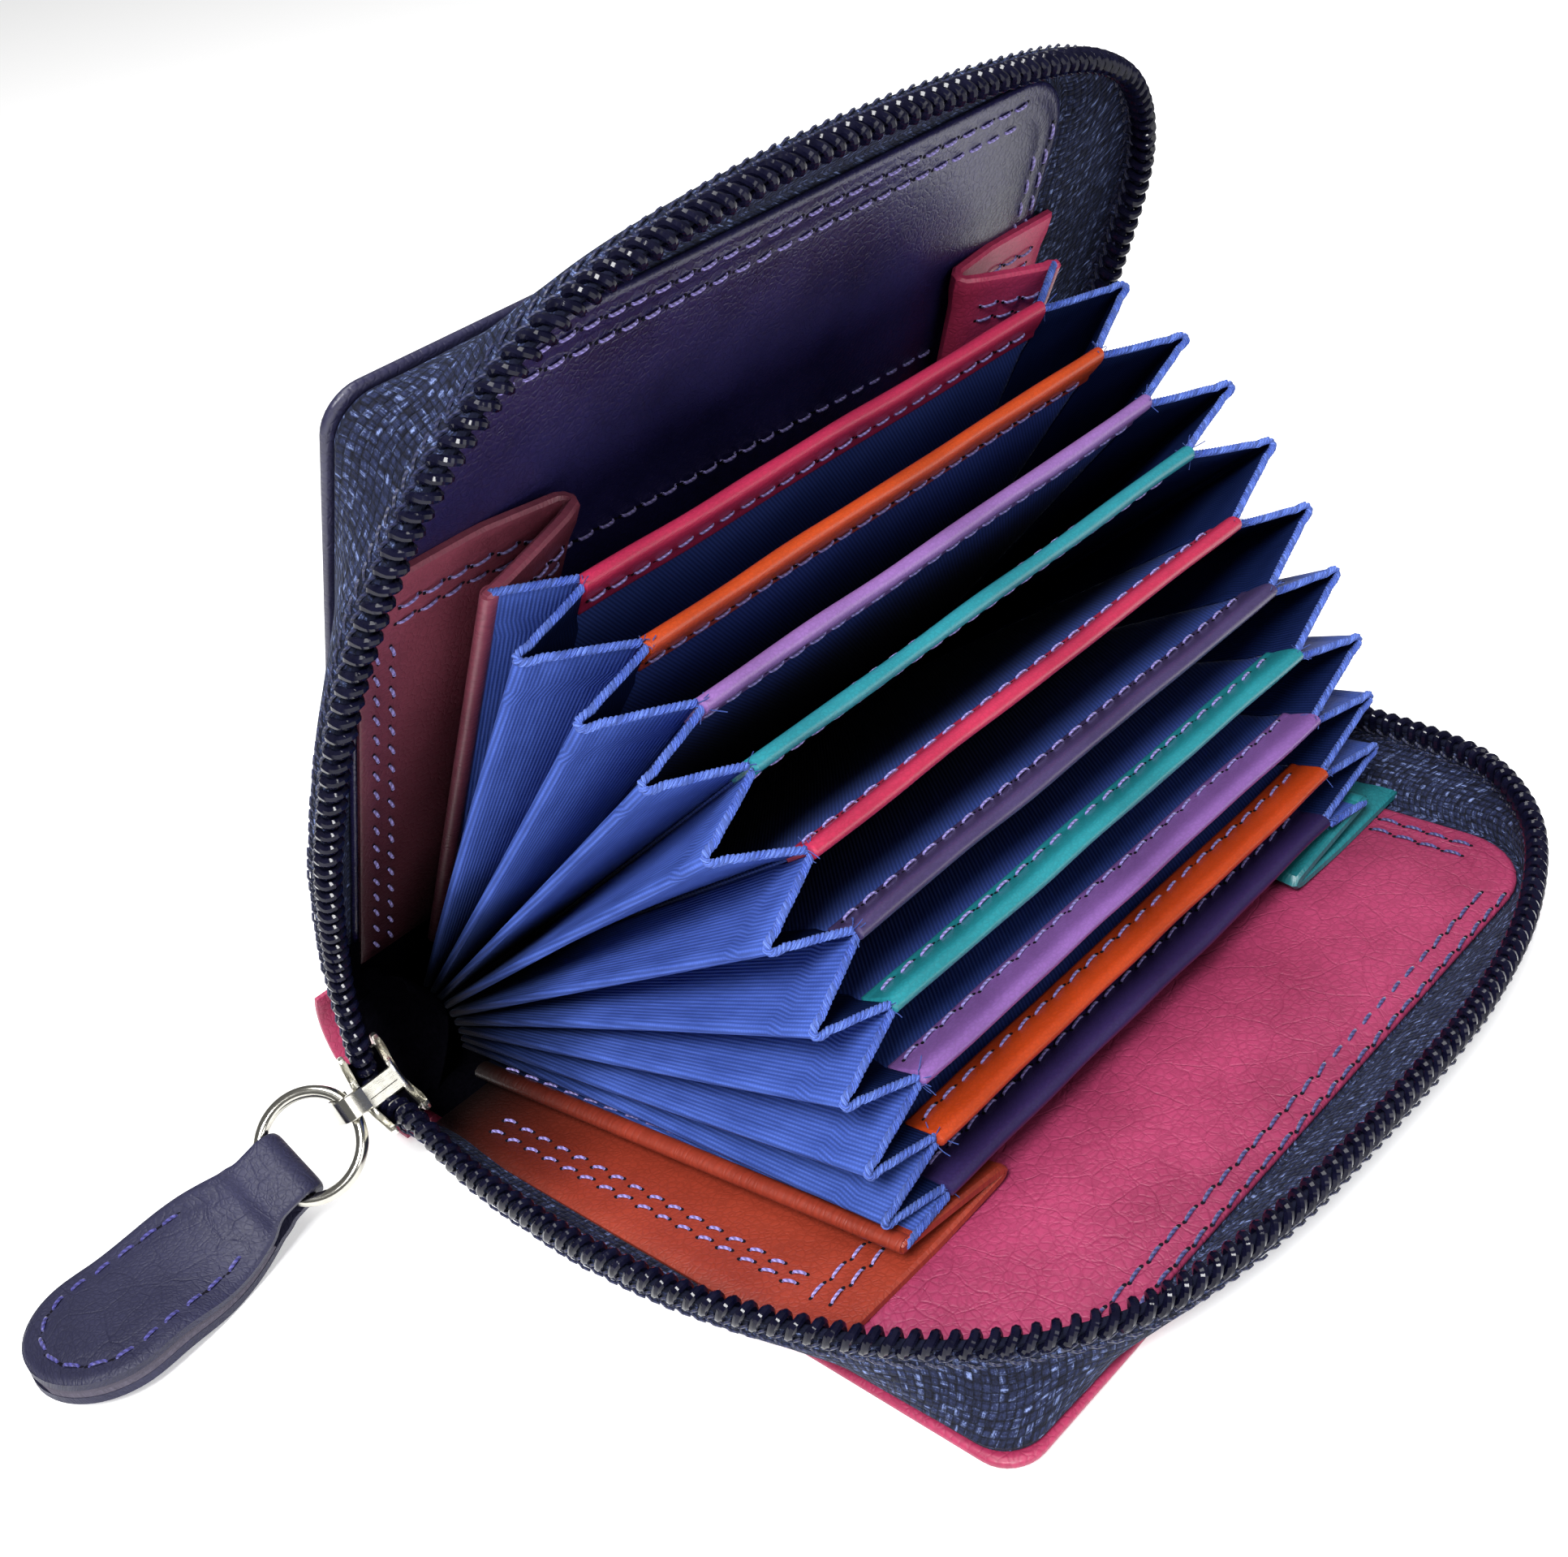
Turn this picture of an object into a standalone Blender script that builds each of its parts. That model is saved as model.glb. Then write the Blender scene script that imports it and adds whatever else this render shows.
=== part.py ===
"""Accordion card wallet, zip-around, standing open: a fan of ten fabric dividers between two padded covers.

Frame: metres, +Z up. The origin is the centre of the lower cover's underside. The spine runs along X,
the mouth opens towards -Y, and every cover and divider turns on one hinge line along X.
"""

import math

import bmesh
import bpy
import numpy as np
from mathutils import Matrix, Vector

MM = 0.001

# Covers, in millimetres
COVER_HALF_WIDTH = 51.4
SPINE_HALF_WIDTH = 53.0
COVER_DEPTH = 82.5
COVER_CORNER = 4.0
HINGE_Y = 41.25
HINGE_Z = 11.2  # half the closed thickness of 22.4
LEATHER = (0.0, 0.9)
BOARD = (1.1, 1.7)
LINING = (1.9, 2.6)
OPEN_ANGLE = 65.3  # upper cover above the lower cover's plane, as it stands

# Fan of dividers
DIVIDERS = 10
TIP_ANGLES = (62.8, 54.9, 47.9, 41.2, 32.7, 24.8, 17.4, 9.9, 3.3, -2.8)
FAN_RADIUS = 60.0
DIVIDER_HALF_WIDTH = 34.5
DIVIDER_THICK = 0.4
ROOT_PITCH = 0.9
BINDING_START, BINDING_END = 57.2, 62.0
BINDING_HALF, BINDING_SLOT = 0.7, 0.35

# Folded fabric ends of the pockets
GUSSET_THICK = 0.3
GUSSET_REACH_MOUTH, GUSSET_REACH_ROOT = 10.6, 9.0
GUSSET_ROOT = 5.0
LEATHER_GUSSET_THICK = 0.4

# Zip
TAPE_THICK = 0.5
ROW_OFFSET = 2.2  # centre of each row of teeth from the mid plane
ROW_HIGH, ROW_THICK = 2.6, 2.2
ZIP_HALF_WIDTH = 58.3  # on the slider's side
ZIP_FAR_WIDTH = 57.0  # on the other side
ZIP_FRONT = 90.3
ZIP_CORNER = 36.0
ROW_START = 5.6

# Slider, bail, ring and pull
SLIDER_S = 3.6  # centre, forward of the hinge line
PLATE_IN, PLATE_OUT = 1.6, 2.4
RING_RADIUS, WIRE = 5.6, 0.7
PULL_LENGTH = 29.5
PULL_STATIONS = (7.0, 9.0, 11.0, 13.0, 15.0, 17.0, 19.5, 22.5, 24.5, 26.3, 27.6, 28.5)


def material(name, colour, rough, metal=0.0):
    mat = bpy.data.materials.new(name)
    mat.use_nodes = True
    shader = mat.node_tree.nodes["Principled BSDF"]
    shader.inputs["Base Color"].default_value = (*colour, 1.0)
    shader.inputs["Roughness"].default_value = rough
    shader.inputs["Metallic"].default_value = metal
    mat.diffuse_color = (*colour, 1.0)
    return mat


def new_object(name, verts, faces, mat, parent=None, location=None, smooth=False):
    """A closed body from millimetre points. Its origin is its location, or its parent's."""
    mesh = bpy.data.meshes.new(name)
    work = bmesh.new()
    made = [work.verts.new(Vector(v) * MM) for v in verts]
    for face in faces:
        work.faces.new([made[k] for k in face])
    bmesh.ops.recalc_face_normals(work, faces=work.faces)
    work.to_mesh(mesh)
    work.free()
    mesh.materials.append(mat)
    if smooth:
        mesh.shade_smooth()
        mesh.set_sharp_from_angle(angle=math.radians(40))
    obj = bpy.data.objects.new(name, mesh)
    bpy.context.scene.collection.objects.link(obj)
    if parent is not None:
        obj.parent = parent
    if location is not None:
        obj.location = Vector(location) * MM
    return obj


def loft(rings, closed=False):
    """Points and faces of a body swept through rings that all have the same number of points."""
    n = len(rings[0])
    verts = [tuple(p) for ring in rings for p in ring]
    faces = []
    count = len(rings)
    for a in range(count if closed else count - 1):
        b = (a + 1) % count
        for k in range(n):
            m = (k + 1) % n
            faces.append((a * n + k, a * n + m, b * n + m, b * n + k))
    if not closed:
        faces.append(tuple(range(n)))
        faces.append(tuple((count - 1) * n + k for k in range(n)))
    return verts, faces


def plate(outline, low, high, place):
    """A flat slab: outline points (x, s), between two heights."""
    return loft([[place(x, s, h) for x, s in outline] for h in (low, high)])


def cover_outline(half, start, end, front_r, back_r=1.5, seg=6):
    """Outline of a cover layer: round front corners, small back corners."""
    points = []
    for cx, cs, r, first in (
        (half - back_r, start + back_r, back_r, -90),
        (half - front_r, end - front_r, front_r, 0),
        (-half + front_r, end - front_r, front_r, 90),
        (-half + back_r, start + back_r, back_r, 180),
    ):
        for k in range(seg + 1):
            a = math.radians(first + 90 * k / seg)
            points.append((cx + r * math.cos(a), cs + r * math.sin(a)))
    return points


def lower_local(x, s, z):
    """A point of the lower cover, s forward of the hinge line and z above the underside, about the hinge line."""
    return (x, -s, z - HINGE_Z)


def upper_local(x, s, z):
    """The same point of the upper cover, in the upper cover's own turned frame."""
    return (x, -s, HINGE_Z - z)


def turned(x, s, n, degrees):
    """A point s along a plane that stands at an angle about the hinge line, n off that plane."""
    a = math.radians(degrees)
    return np.array((x, -s * math.cos(a) + n * math.sin(a), s * math.sin(a) + n * math.cos(a)))


def divider_offset(i):
    return (5.5 - i) * ROOT_PITCH


def divider_angle(i):
    """Angle of divider i's own plane, whose mouth then lies at its tip angle."""
    return TIP_ANGLES[i - 1] - math.degrees(math.atan(divider_offset(i) / FAN_RADIUS))


def hinge_empty(name, degrees):
    empty = bpy.data.objects.new(name, None)
    empty.location = Vector((0, HINGE_Y, HINGE_Z)) * MM
    empty.rotation_euler = (-math.radians(degrees), 0, 0)
    bpy.context.scene.collection.objects.link(empty)
    return empty


# ---------------------------------------------------------------- zip path


def zip_path(left, right, front, corner, start, arc_seg=10):
    """The line that a zip edge follows round three sides, left rear to right rear, as (x, s)."""
    points = [(-left, start), (-left, (start + front - corner) * 0.5)]
    for k in range(arc_seg + 1):
        a = math.radians(180 - 90 * k / arc_seg)
        points.append((-left + corner + corner * math.cos(a), front - corner + corner * math.sin(a)))
    points.append(((right - left) / 2, front))
    for k in range(arc_seg + 1):
        a = math.radians(90 - 90 * k / arc_seg)
        points.append((right - corner + corner * math.cos(a), front - corner + corner * math.sin(a)))
    points += [(right, (start + front - corner) * 0.5), (right, start)]
    return np.array(points)


def along(points, share):
    """The point at a share of a line's length."""
    steps = np.linalg.norm(np.diff(points, axis=0), axis=1)
    total = np.concatenate([[0], np.cumsum(steps)])
    want = share * total[-1]
    return np.array([np.interp(want, total, points[:, k]) for k in range(2)])


def shares(points):
    steps = np.linalg.norm(np.diff(points, axis=0), axis=1)
    total = np.concatenate([[0], np.cumsum(steps)])
    return total / total[-1]


def side_normals(points):
    """Outward normals of a path walked left rear, front, right rear."""
    tangent = np.gradient(points, axis=0)
    tangent /= np.linalg.norm(tangent, axis=1)[:, None]
    return np.stack([-tangent[:, 1], tangent[:, 0]], axis=1)


TAPE_PROFILE = ((1.4, 0.0), (2.3, 0.22), (3.7, 0.58), (5.1, 0.88), (6.3, 1.0), (7.35, 1.0))


def tape_solid(place):
    """The woven tape from its sewn flange in the cover's edge up to its row of teeth."""
    top = zip_path(ZIP_HALF_WIDTH, ZIP_FAR_WIDTH, ZIP_FRONT, ZIP_CORNER, ROW_START)
    base = zip_path(COVER_HALF_WIDTH - 0.4, COVER_HALF_WIDTH - 0.4, COVER_DEPTH - 0.4, COVER_CORNER, 3.0)
    rings = []
    for share, (kx, ks) in zip(shares(top), top):
        bx, bs = along(base, share)
        ahead, behind = along(base, min(1, share + 0.004)), along(base, max(0, share - 0.004))
        t = (ahead - behind) / np.linalg.norm(ahead - behind)
        inward = np.array((t[1], -t[0]))
        flange = np.array((bx, bs)) + inward * 1.5
        line = [(flange[0], flange[1], TAPE_PROFILE[0][0])]
        for z, f in TAPE_PROFILE:
            line.append((bx + (kx - bx) * f, bs + (ks - bs) * f, z))
        # Thickness is taken across the tape, in the upright plane through its slope.
        line = np.array(line)
        slope = np.gradient(line, axis=0)
        out = -inward
        one, two = [], []
        for p, d in zip(line, slope):
            run = d[0] * out[0] + d[1] * out[1]
            rise = d[2]
            size = math.hypot(run, rise)
            across = np.array((out[0] * rise, out[1] * rise, -run)) / size * TAPE_THICK / 2
            one.append(p + across)
            two.append(p - across)
        rings.append([place(*p) for p in one + two[::-1]])
    return loft(rings)


def row_solid(place, left_start, right_start):
    """One row of teeth with its envelope as a rounded bar."""
    path = zip_path(ZIP_HALF_WIDTH, ZIP_FAR_WIDTH, ZIP_FRONT, ZIP_CORNER, left_start)
    path[-1, 1] = right_start
    out = side_normals(path)
    centre = HINGE_Z - ROW_OFFSET
    cut = 0.6
    section = []
    for sx, sz in ((1, 1), (-1, 1), (-1, -1), (1, -1)):
        a = (sx * (ROW_THICK / 2 - cut), sz * ROW_HIGH / 2)
        b = (sx * ROW_THICK / 2, sz * (ROW_HIGH / 2 - cut))
        section += [b, a] if sx * sz > 0 else [a, b]
    rings = []
    for (x, s), (nx, ns) in zip(path, out):
        rings.append([place(x + nx * u, s + ns * u, centre + v) for u, v in section])
    return loft(rings)


# ---------------------------------------------------------------- fan


def divider_mesh():
    """A flat divider, in its own frame: -Y towards the mouth, +Z off its upper face."""
    h, t = DIVIDER_HALF_WIDTH, DIVIDER_THICK / 2
    outline = [(h, 0.9), (h, 60.9), (-h, 60.9), (-h, 0.9)]
    return outline, t


def binding_rings(offset):
    """The leather binding folded over a divider's mouth edge, as a thick U swept along the edge."""
    wall = BINDING_HALF - BINDING_SLOT
    r_out, r_in = BINDING_HALF, BINDING_SLOT
    centre = BINDING_END - r_out
    outer = [(BINDING_START, r_out)]
    inner = [(BINDING_START, r_in)]
    for k in range(7):
        a = math.radians(90 - 180 * k / 6)
        outer.append((centre + r_out * math.cos(a), r_out * math.sin(a)))
        inner.append((centre + r_in * math.cos(a), r_in * math.sin(a)))
    outer.append((BINDING_START, -r_out))
    inner.append((BINDING_START, -r_in))
    assert wall > 0.2
    profile = outer + inner[::-1]
    h = DIVIDER_HALF_WIDTH
    return [[(x, -s, n + offset) for s, n in profile] for x in (-h, h)]


def thick_line(points, radial, thick):
    """Both sides of a folded sheet's section: points in one plane across the radial direction."""
    points = np.array(points)
    radial = radial / np.linalg.norm(radial)
    legs = np.diff(points, axis=0)
    normals = np.cross(legs, radial)
    normals /= np.linalg.norm(normals, axis=1)[:, None]
    one, two = [], []
    for k, p in enumerate(points):
        if k == 0:
            shift = normals[0]
        elif k == len(points) - 1:
            shift = normals[-1]
        else:
            both = normals[k - 1] + normals[k]
            shift = both / np.dot(both, both) * 2
        one.append(p + shift * thick / 2)
        two.append(p - shift * thick / 2)
    return one + two[::-1]


def gusset_rings(upper, lower, side):
    """The folded fabric end between two dividers: two panels that meet at an outward fold."""
    rings = []
    for share in (0, 0.73, 1):
        s = GUSSET_ROOT + (FAN_RADIUS - GUSSET_ROOT) * share
        reach = GUSSET_REACH_ROOT + (GUSSET_REACH_MOUTH - GUSSET_REACH_ROOT) * share
        a = turned(side * (DIVIDER_HALF_WIDTH + 0.3), s, divider_offset(upper) - 0.35, divider_angle(upper))
        b = turned(side * (DIVIDER_HALF_WIDTH + 0.3), s, divider_offset(lower) + 0.35, divider_angle(lower))
        middle = (a + b) / 2
        up = (a - b) / np.linalg.norm(a - b)
        tip = middle + np.array((side * (reach - 0.3), 0, 0))
        flat = 0.29
        radial = np.array((0.0, *(middle[1:])))
        line = [a, tip + up * flat, tip - up * flat, b]
        rings.append(thick_line(line if side < 0 else line[::-1], radial, GUSSET_THICK))
    return rings


def leather_gusset_rings(side, top):
    """The leather fold between a cover's lining and the end divider: a fabric strip out, then leather in and out again."""
    rings = []
    i = 1 if top else DIVIDERS
    sign = 1 if top else -1
    for s, sewn_x, fold_x, hem_x in ((8.0, 43.0, 35.0, 46.5), (FAN_RADIUS, 42.5, 28.5, 48.0)):
        a = turned(side * (DIVIDER_HALF_WIDTH + 0.3), s, divider_offset(i) + sign * 0.35, divider_angle(i))
        face = HINGE_Z - LINING[1] - 0.5
        if top:
            b = turned(side * (DIVIDER_HALF_WIDTH + 0.3), s, face, OPEN_ANGLE)
        else:
            b = turned(side * (DIVIDER_HALF_WIDTH + 0.3), s, -face, 0.0)
        gap = b - a

        def at(x, f):
            p = a + gap * f
            return np.array((side * x, p[1], p[2]))

        size = np.linalg.norm(gap)
        half = 0.3 / size
        radial = np.array((0.0, *((a + b) / 2)[1:]))
        line = [
            at(DIVIDER_HALF_WIDTH + 0.3, 0.0),
            at(sewn_x, 0.36 - half),
            at(sewn_x, 0.36 + half),
            at(fold_x, 0.74 - half),
            at(fold_x, 0.74 + half),
            at(hem_x, 1.0),
        ]
        rings.append(thick_line(line, radial, LEATHER_GUSSET_THICK))
    return rings


# ---------------------------------------------------------------- slider, bail, ring and pull


def box(x0, x1, y0, y1, z0, z1):
    rings = [[(x0, y0, z), (x1, y0, z), (x1, y1, z), (x0, y1, z)] for z in (z0, z1)]
    return loft(rings)


def boolean(obj, other, operation, name):
    other.hide_render = True
    other.display_type = "WIRE"
    cut = obj.modifiers.new(name, "BOOLEAN")
    cut.operation = operation
    cut.solver = "EXACT"
    cut.object = other


SLIDER_OUTLINE = (
    (-5.0, 2.4),
    (-4.6, 3.1),
    (-2.6, 3.9),
    (-1.0, 4.4),
    (1.2, 4.7),
    (3.6, 4.6),
    (4.6, 4.1),
    (5.0, 3.3),
    (4.6, 2.5),
    (3.6, 1.6),
    (3.0, 0.8),
)


def slider_body(mat, parent):
    """Two shaped wings with curled lips, held apart by a post between the two rows of teeth."""
    x0 = -ZIP_HALF_WIDTH
    half = [(s, z) for s, z in SLIDER_OUTLINE]
    outline = half + [(s, -z) for s, z in half[::-1]]
    made = []
    for name, sign in (("zip_slider", -1), ("slider_inner_wing", 1)):
        a, b = sorted((x0 + sign * PLATE_IN, x0 + sign * PLATE_OUT))
        rings = [[(x, -(SLIDER_S + s), z) for s, z in outline] for x in (a, b)]
        made.append(new_object(name, *loft(rings), mat, parent))
    body, inner = made
    helpers = [inner]
    post = [(-0.4, 0.35), (0.6, 0.68), (3.2, 0.68), (3.2, -0.68), (0.6, -0.68), (-0.4, -0.35)]
    reach = PLATE_OUT - 0.3
    rings = [[(x0 + x, -(SLIDER_S + s), z) for s, z in post] for x in (-reach, reach)]
    helpers.append(new_object("slider_post", *loft(rings), mat, parent))
    for sx in (-1, 1):
        for sz in (-1, 1):
            xa, xb = sorted((x0 + sx * (PLATE_IN + 0.3), x0 + sx * 1.2))
            za, zb = sorted((sz * 3.8, sz * 4.35))
            helpers.append(
                new_object(
                    f"slider_lip_{sx}_{sz}",
                    *box(xa, xb, -(SLIDER_S + 3.6), -(SLIDER_S - 0.6), za, zb),
                    mat,
                    parent,
                )
            )
    for k, other in enumerate(helpers):
        boolean(body, other, "UNION", f"join_{k}")
    return body


BAIL_TILT = 32.65  # the bail leans with the rows' middle line
BAIL_UP = 0.6


def bail_point(b, u, x):
    """A point of the bail: b forward along its length, u across it, x outward from the wing."""
    a = math.radians(BAIL_TILT)
    s = SLIDER_S - 0.2 + b * math.cos(a) + u * math.sin(a)
    z = BAIL_UP + b * math.sin(a) - u * math.cos(a)
    return (-ZIP_HALF_WIDTH - x, -s, z)


def bail_body(mat, parent):
    """A bridge over the outer wing. The ring passes under it, between its feet."""
    low, high = PLATE_OUT + 0.15, PLATE_OUT + 3.0

    def slab(b0, b1, u0, u1, x0, x1):
        rings = [
            [bail_point(b0, u0, x), bail_point(b1, u0, x), bail_point(b1, u1, x), bail_point(b0, u1, x)]
            for x in (x0, x1)
        ]
        return loft(rings)

    b_end, u_end, chamfer = 2.7, 1.35, 0.5
    rings = []
    for x, inset in ((low, 0.0), (high - 0.35, 0.0), (high, chamfer)):
        be, ue = b_end - inset, u_end - inset * 0.7
        c = 0.5
        ring = [
            (be - c, ue), (be, ue - c), (be, -ue + c), (be - c, -ue),
            (-be + c, -ue), (-be, -ue + c), (-be, ue - c), (-be + c, ue),
        ]
        rings.append([bail_point(b, u, x) for b, u in ring])
    body = new_object("slider_bail", *loft(rings), mat, parent)
    channel = new_object("bail_channel", *slab(-9, 9, -0.85, 0.85, low - 1, high - 0.55), mat, parent)
    window = new_object("bail_window", *slab(-1.95, 1.95, -9, 9, low - 1, high - 0.6), mat, parent)
    boolean(body, channel, "DIFFERENCE", "channel")
    boolean(body, window, "DIFFERENCE", "window")
    return body


RING_TANGENT = np.array((0.0, -0.86, -0.51))
RING_TANGENT /= np.linalg.norm(RING_TANGENT)
RING_OUT = np.array((-0.85, 0.26, -0.44))
RING_OUT -= RING_TANGENT * np.dot(RING_OUT, RING_TANGENT)
RING_OUT /= np.linalg.norm(RING_OUT)
RING_FACE = np.cross(RING_OUT, RING_TANGENT)
if RING_FACE[2] < 0:
    RING_FACE = -RING_FACE


def ring_hook():
    """Where the ring's wire passes under the bail, about the hinge line."""
    return np.array(bail_point(0.0, 0.0, PLATE_OUT + 1.25))


def ring_solid():
    """The round wire ring about its hook point: the origin is the wire's middle under the bail."""
    rings = []
    for k in range(28):
        a = 2 * math.pi * k / 28
        centre = RING_OUT * (RING_RADIUS - RING_RADIUS * math.cos(a)) + RING_TANGENT * RING_RADIUS * math.sin(a)
        spoke = -RING_OUT * math.cos(a) + RING_TANGENT * math.sin(a)
        ring = []
        for m in range(8):
            c = 2 * math.pi * (m + 0.5) / 8
            ring.append(centre + WIRE * (spoke * math.cos(c) + RING_FACE * math.sin(c)))
        rings.append(ring)
    return loft(rings, closed=True)


def pull_frames(step=0.5):
    """The pull's middle line from the ring's far side, with its width and face directions, about the ring's far point."""
    p = np.zeros(3)
    start = math.degrees(math.asin(-RING_OUT[2]))
    heading = math.degrees(math.atan2(RING_OUT[1], RING_OUT[0]))
    if heading < 0:
        heading += 360
    tilt = math.degrees(math.asin(-RING_TANGENT[2]))
    out = []
    length = 0.0
    while length <= PULL_LENGTH + 1e-6:
        ease = min(1, max(0, (length - 1.5) / 17.0))
        ease = ease * ease * (3 - 2 * ease)
        drop = math.radians(start * (1 - ease))
        turn = math.radians(heading + (181 - heading) * ease)
        d = np.array((math.cos(drop) * math.cos(turn), math.cos(drop) * math.sin(turn), -math.sin(drop)))
        roll = math.radians(tilt * (1 - ease))
        if length <= 1.5:
            w = RING_TANGENT
        else:
            w = np.array((0.0, -math.cos(roll), -math.sin(roll)))
            w = w - d * np.dot(w, d)
            w /= np.linalg.norm(w)
        if length <= 1.5:
            d = RING_OUT
        n = np.cross(d, w)
        if n[2] < 0:
            n = -n
        out.append((length, p.copy(), d, w, n))
        p = p + d * step
        length += step
    return out


def pull_point(frames, length, w, n):
    if length <= 0:
        return RING_OUT * length + RING_TANGENT * w + RING_FACE * n
    k = min(len(frames) - 2, int(length / 0.5))
    f = (length - frames[k][0]) / 0.5
    mix = [frames[k][m] * (1 - f) + frames[k + 1][m] * f for m in (1, 3, 4)]
    return mix[0] + mix[1] * w + mix[2] * n


def pull_half_width(length, end=PULL_LENGTH):
    """Narrow at the ring, wide and round at the free end."""
    wide, narrow = 8.5, 3.9
    bend = end - wide
    if length > bend:
        return math.sqrt(max(wide**2 - (length - bend) ** 2, 0.16))
    f = min(1, max(0, (length - 1.0) / (bend - 1.0)))
    return narrow + (wide - narrow) * (1 - (1 - f) ** 1.7)


CAVITY_HALF, SLOT_HALF, STRAP = 1.25, 0.5, 1.15
LOOP_BACK, LOOP_FRONT = -2.75, 1.6


def strap_section(h, q):
    """One leaf's section: across the pull, and away from its middle."""
    return ((h, q + STRAP), (0, q + STRAP), (-h, q + STRAP), (-h, q), (0, q), (h, q))


def strap_rings(frames):
    """The pull's leather: one strip folded round the ring, its two leaves either side of a stiffener."""
    reach = [3.4, 5.0, *PULL_STATIONS, 29.1, PULL_LENGTH]

    def middle(length):
        if length >= 3.4:
            return SLOT_HALF
        f = max(0, (length - LOOP_FRONT) / (3.4 - LOOP_FRONT))
        return CAVITY_HALF + (SLOT_HALF - CAVITY_HALF) * f * f * (3 - 2 * f)

    stations = []
    for length in reach[::-1]:
        stations.append((length, 1))
    for length in (2.5, 1.6, 0.0):
        stations.append((length, 1))
    rings = []
    for length, side in stations:
        h = pull_half_width(length)
        q = middle(length)
        rings.append([pull_point(frames, length, w, side * n) for w, n in strap_section(h, q)])
    centre = LOOP_BACK + CAVITY_HALF
    h = pull_half_width(0)
    for k in range(9):
        a = math.radians(90 + 180 * k / 8)
        ring = []
        for w, r in strap_section(h, CAVITY_HALF):
            ring.append(pull_point(frames, centre + r * math.cos(a), w, r * math.sin(a)))
        rings.append(ring)
    for length, side in stations[::-1]:
        h = pull_half_width(length)
        q = middle(length)
        rings.append([pull_point(frames, length, w, -n) for w, n in strap_section(h, q)])
    return rings


def core_rings(frames):
    """The stiffener between the pull's two leaves."""
    rings = []
    for length in (4.2, *PULL_STATIONS):
        h = pull_half_width(length + 0.6) - 0.5
        section = ((h, 0.2), (0, 0.2), (-h, 0.2), (-h, -0.2), (0, -0.2), (h, -0.2))
        rings.append([pull_point(frames, length, w, n) for w, n in section])
    return rings


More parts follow.
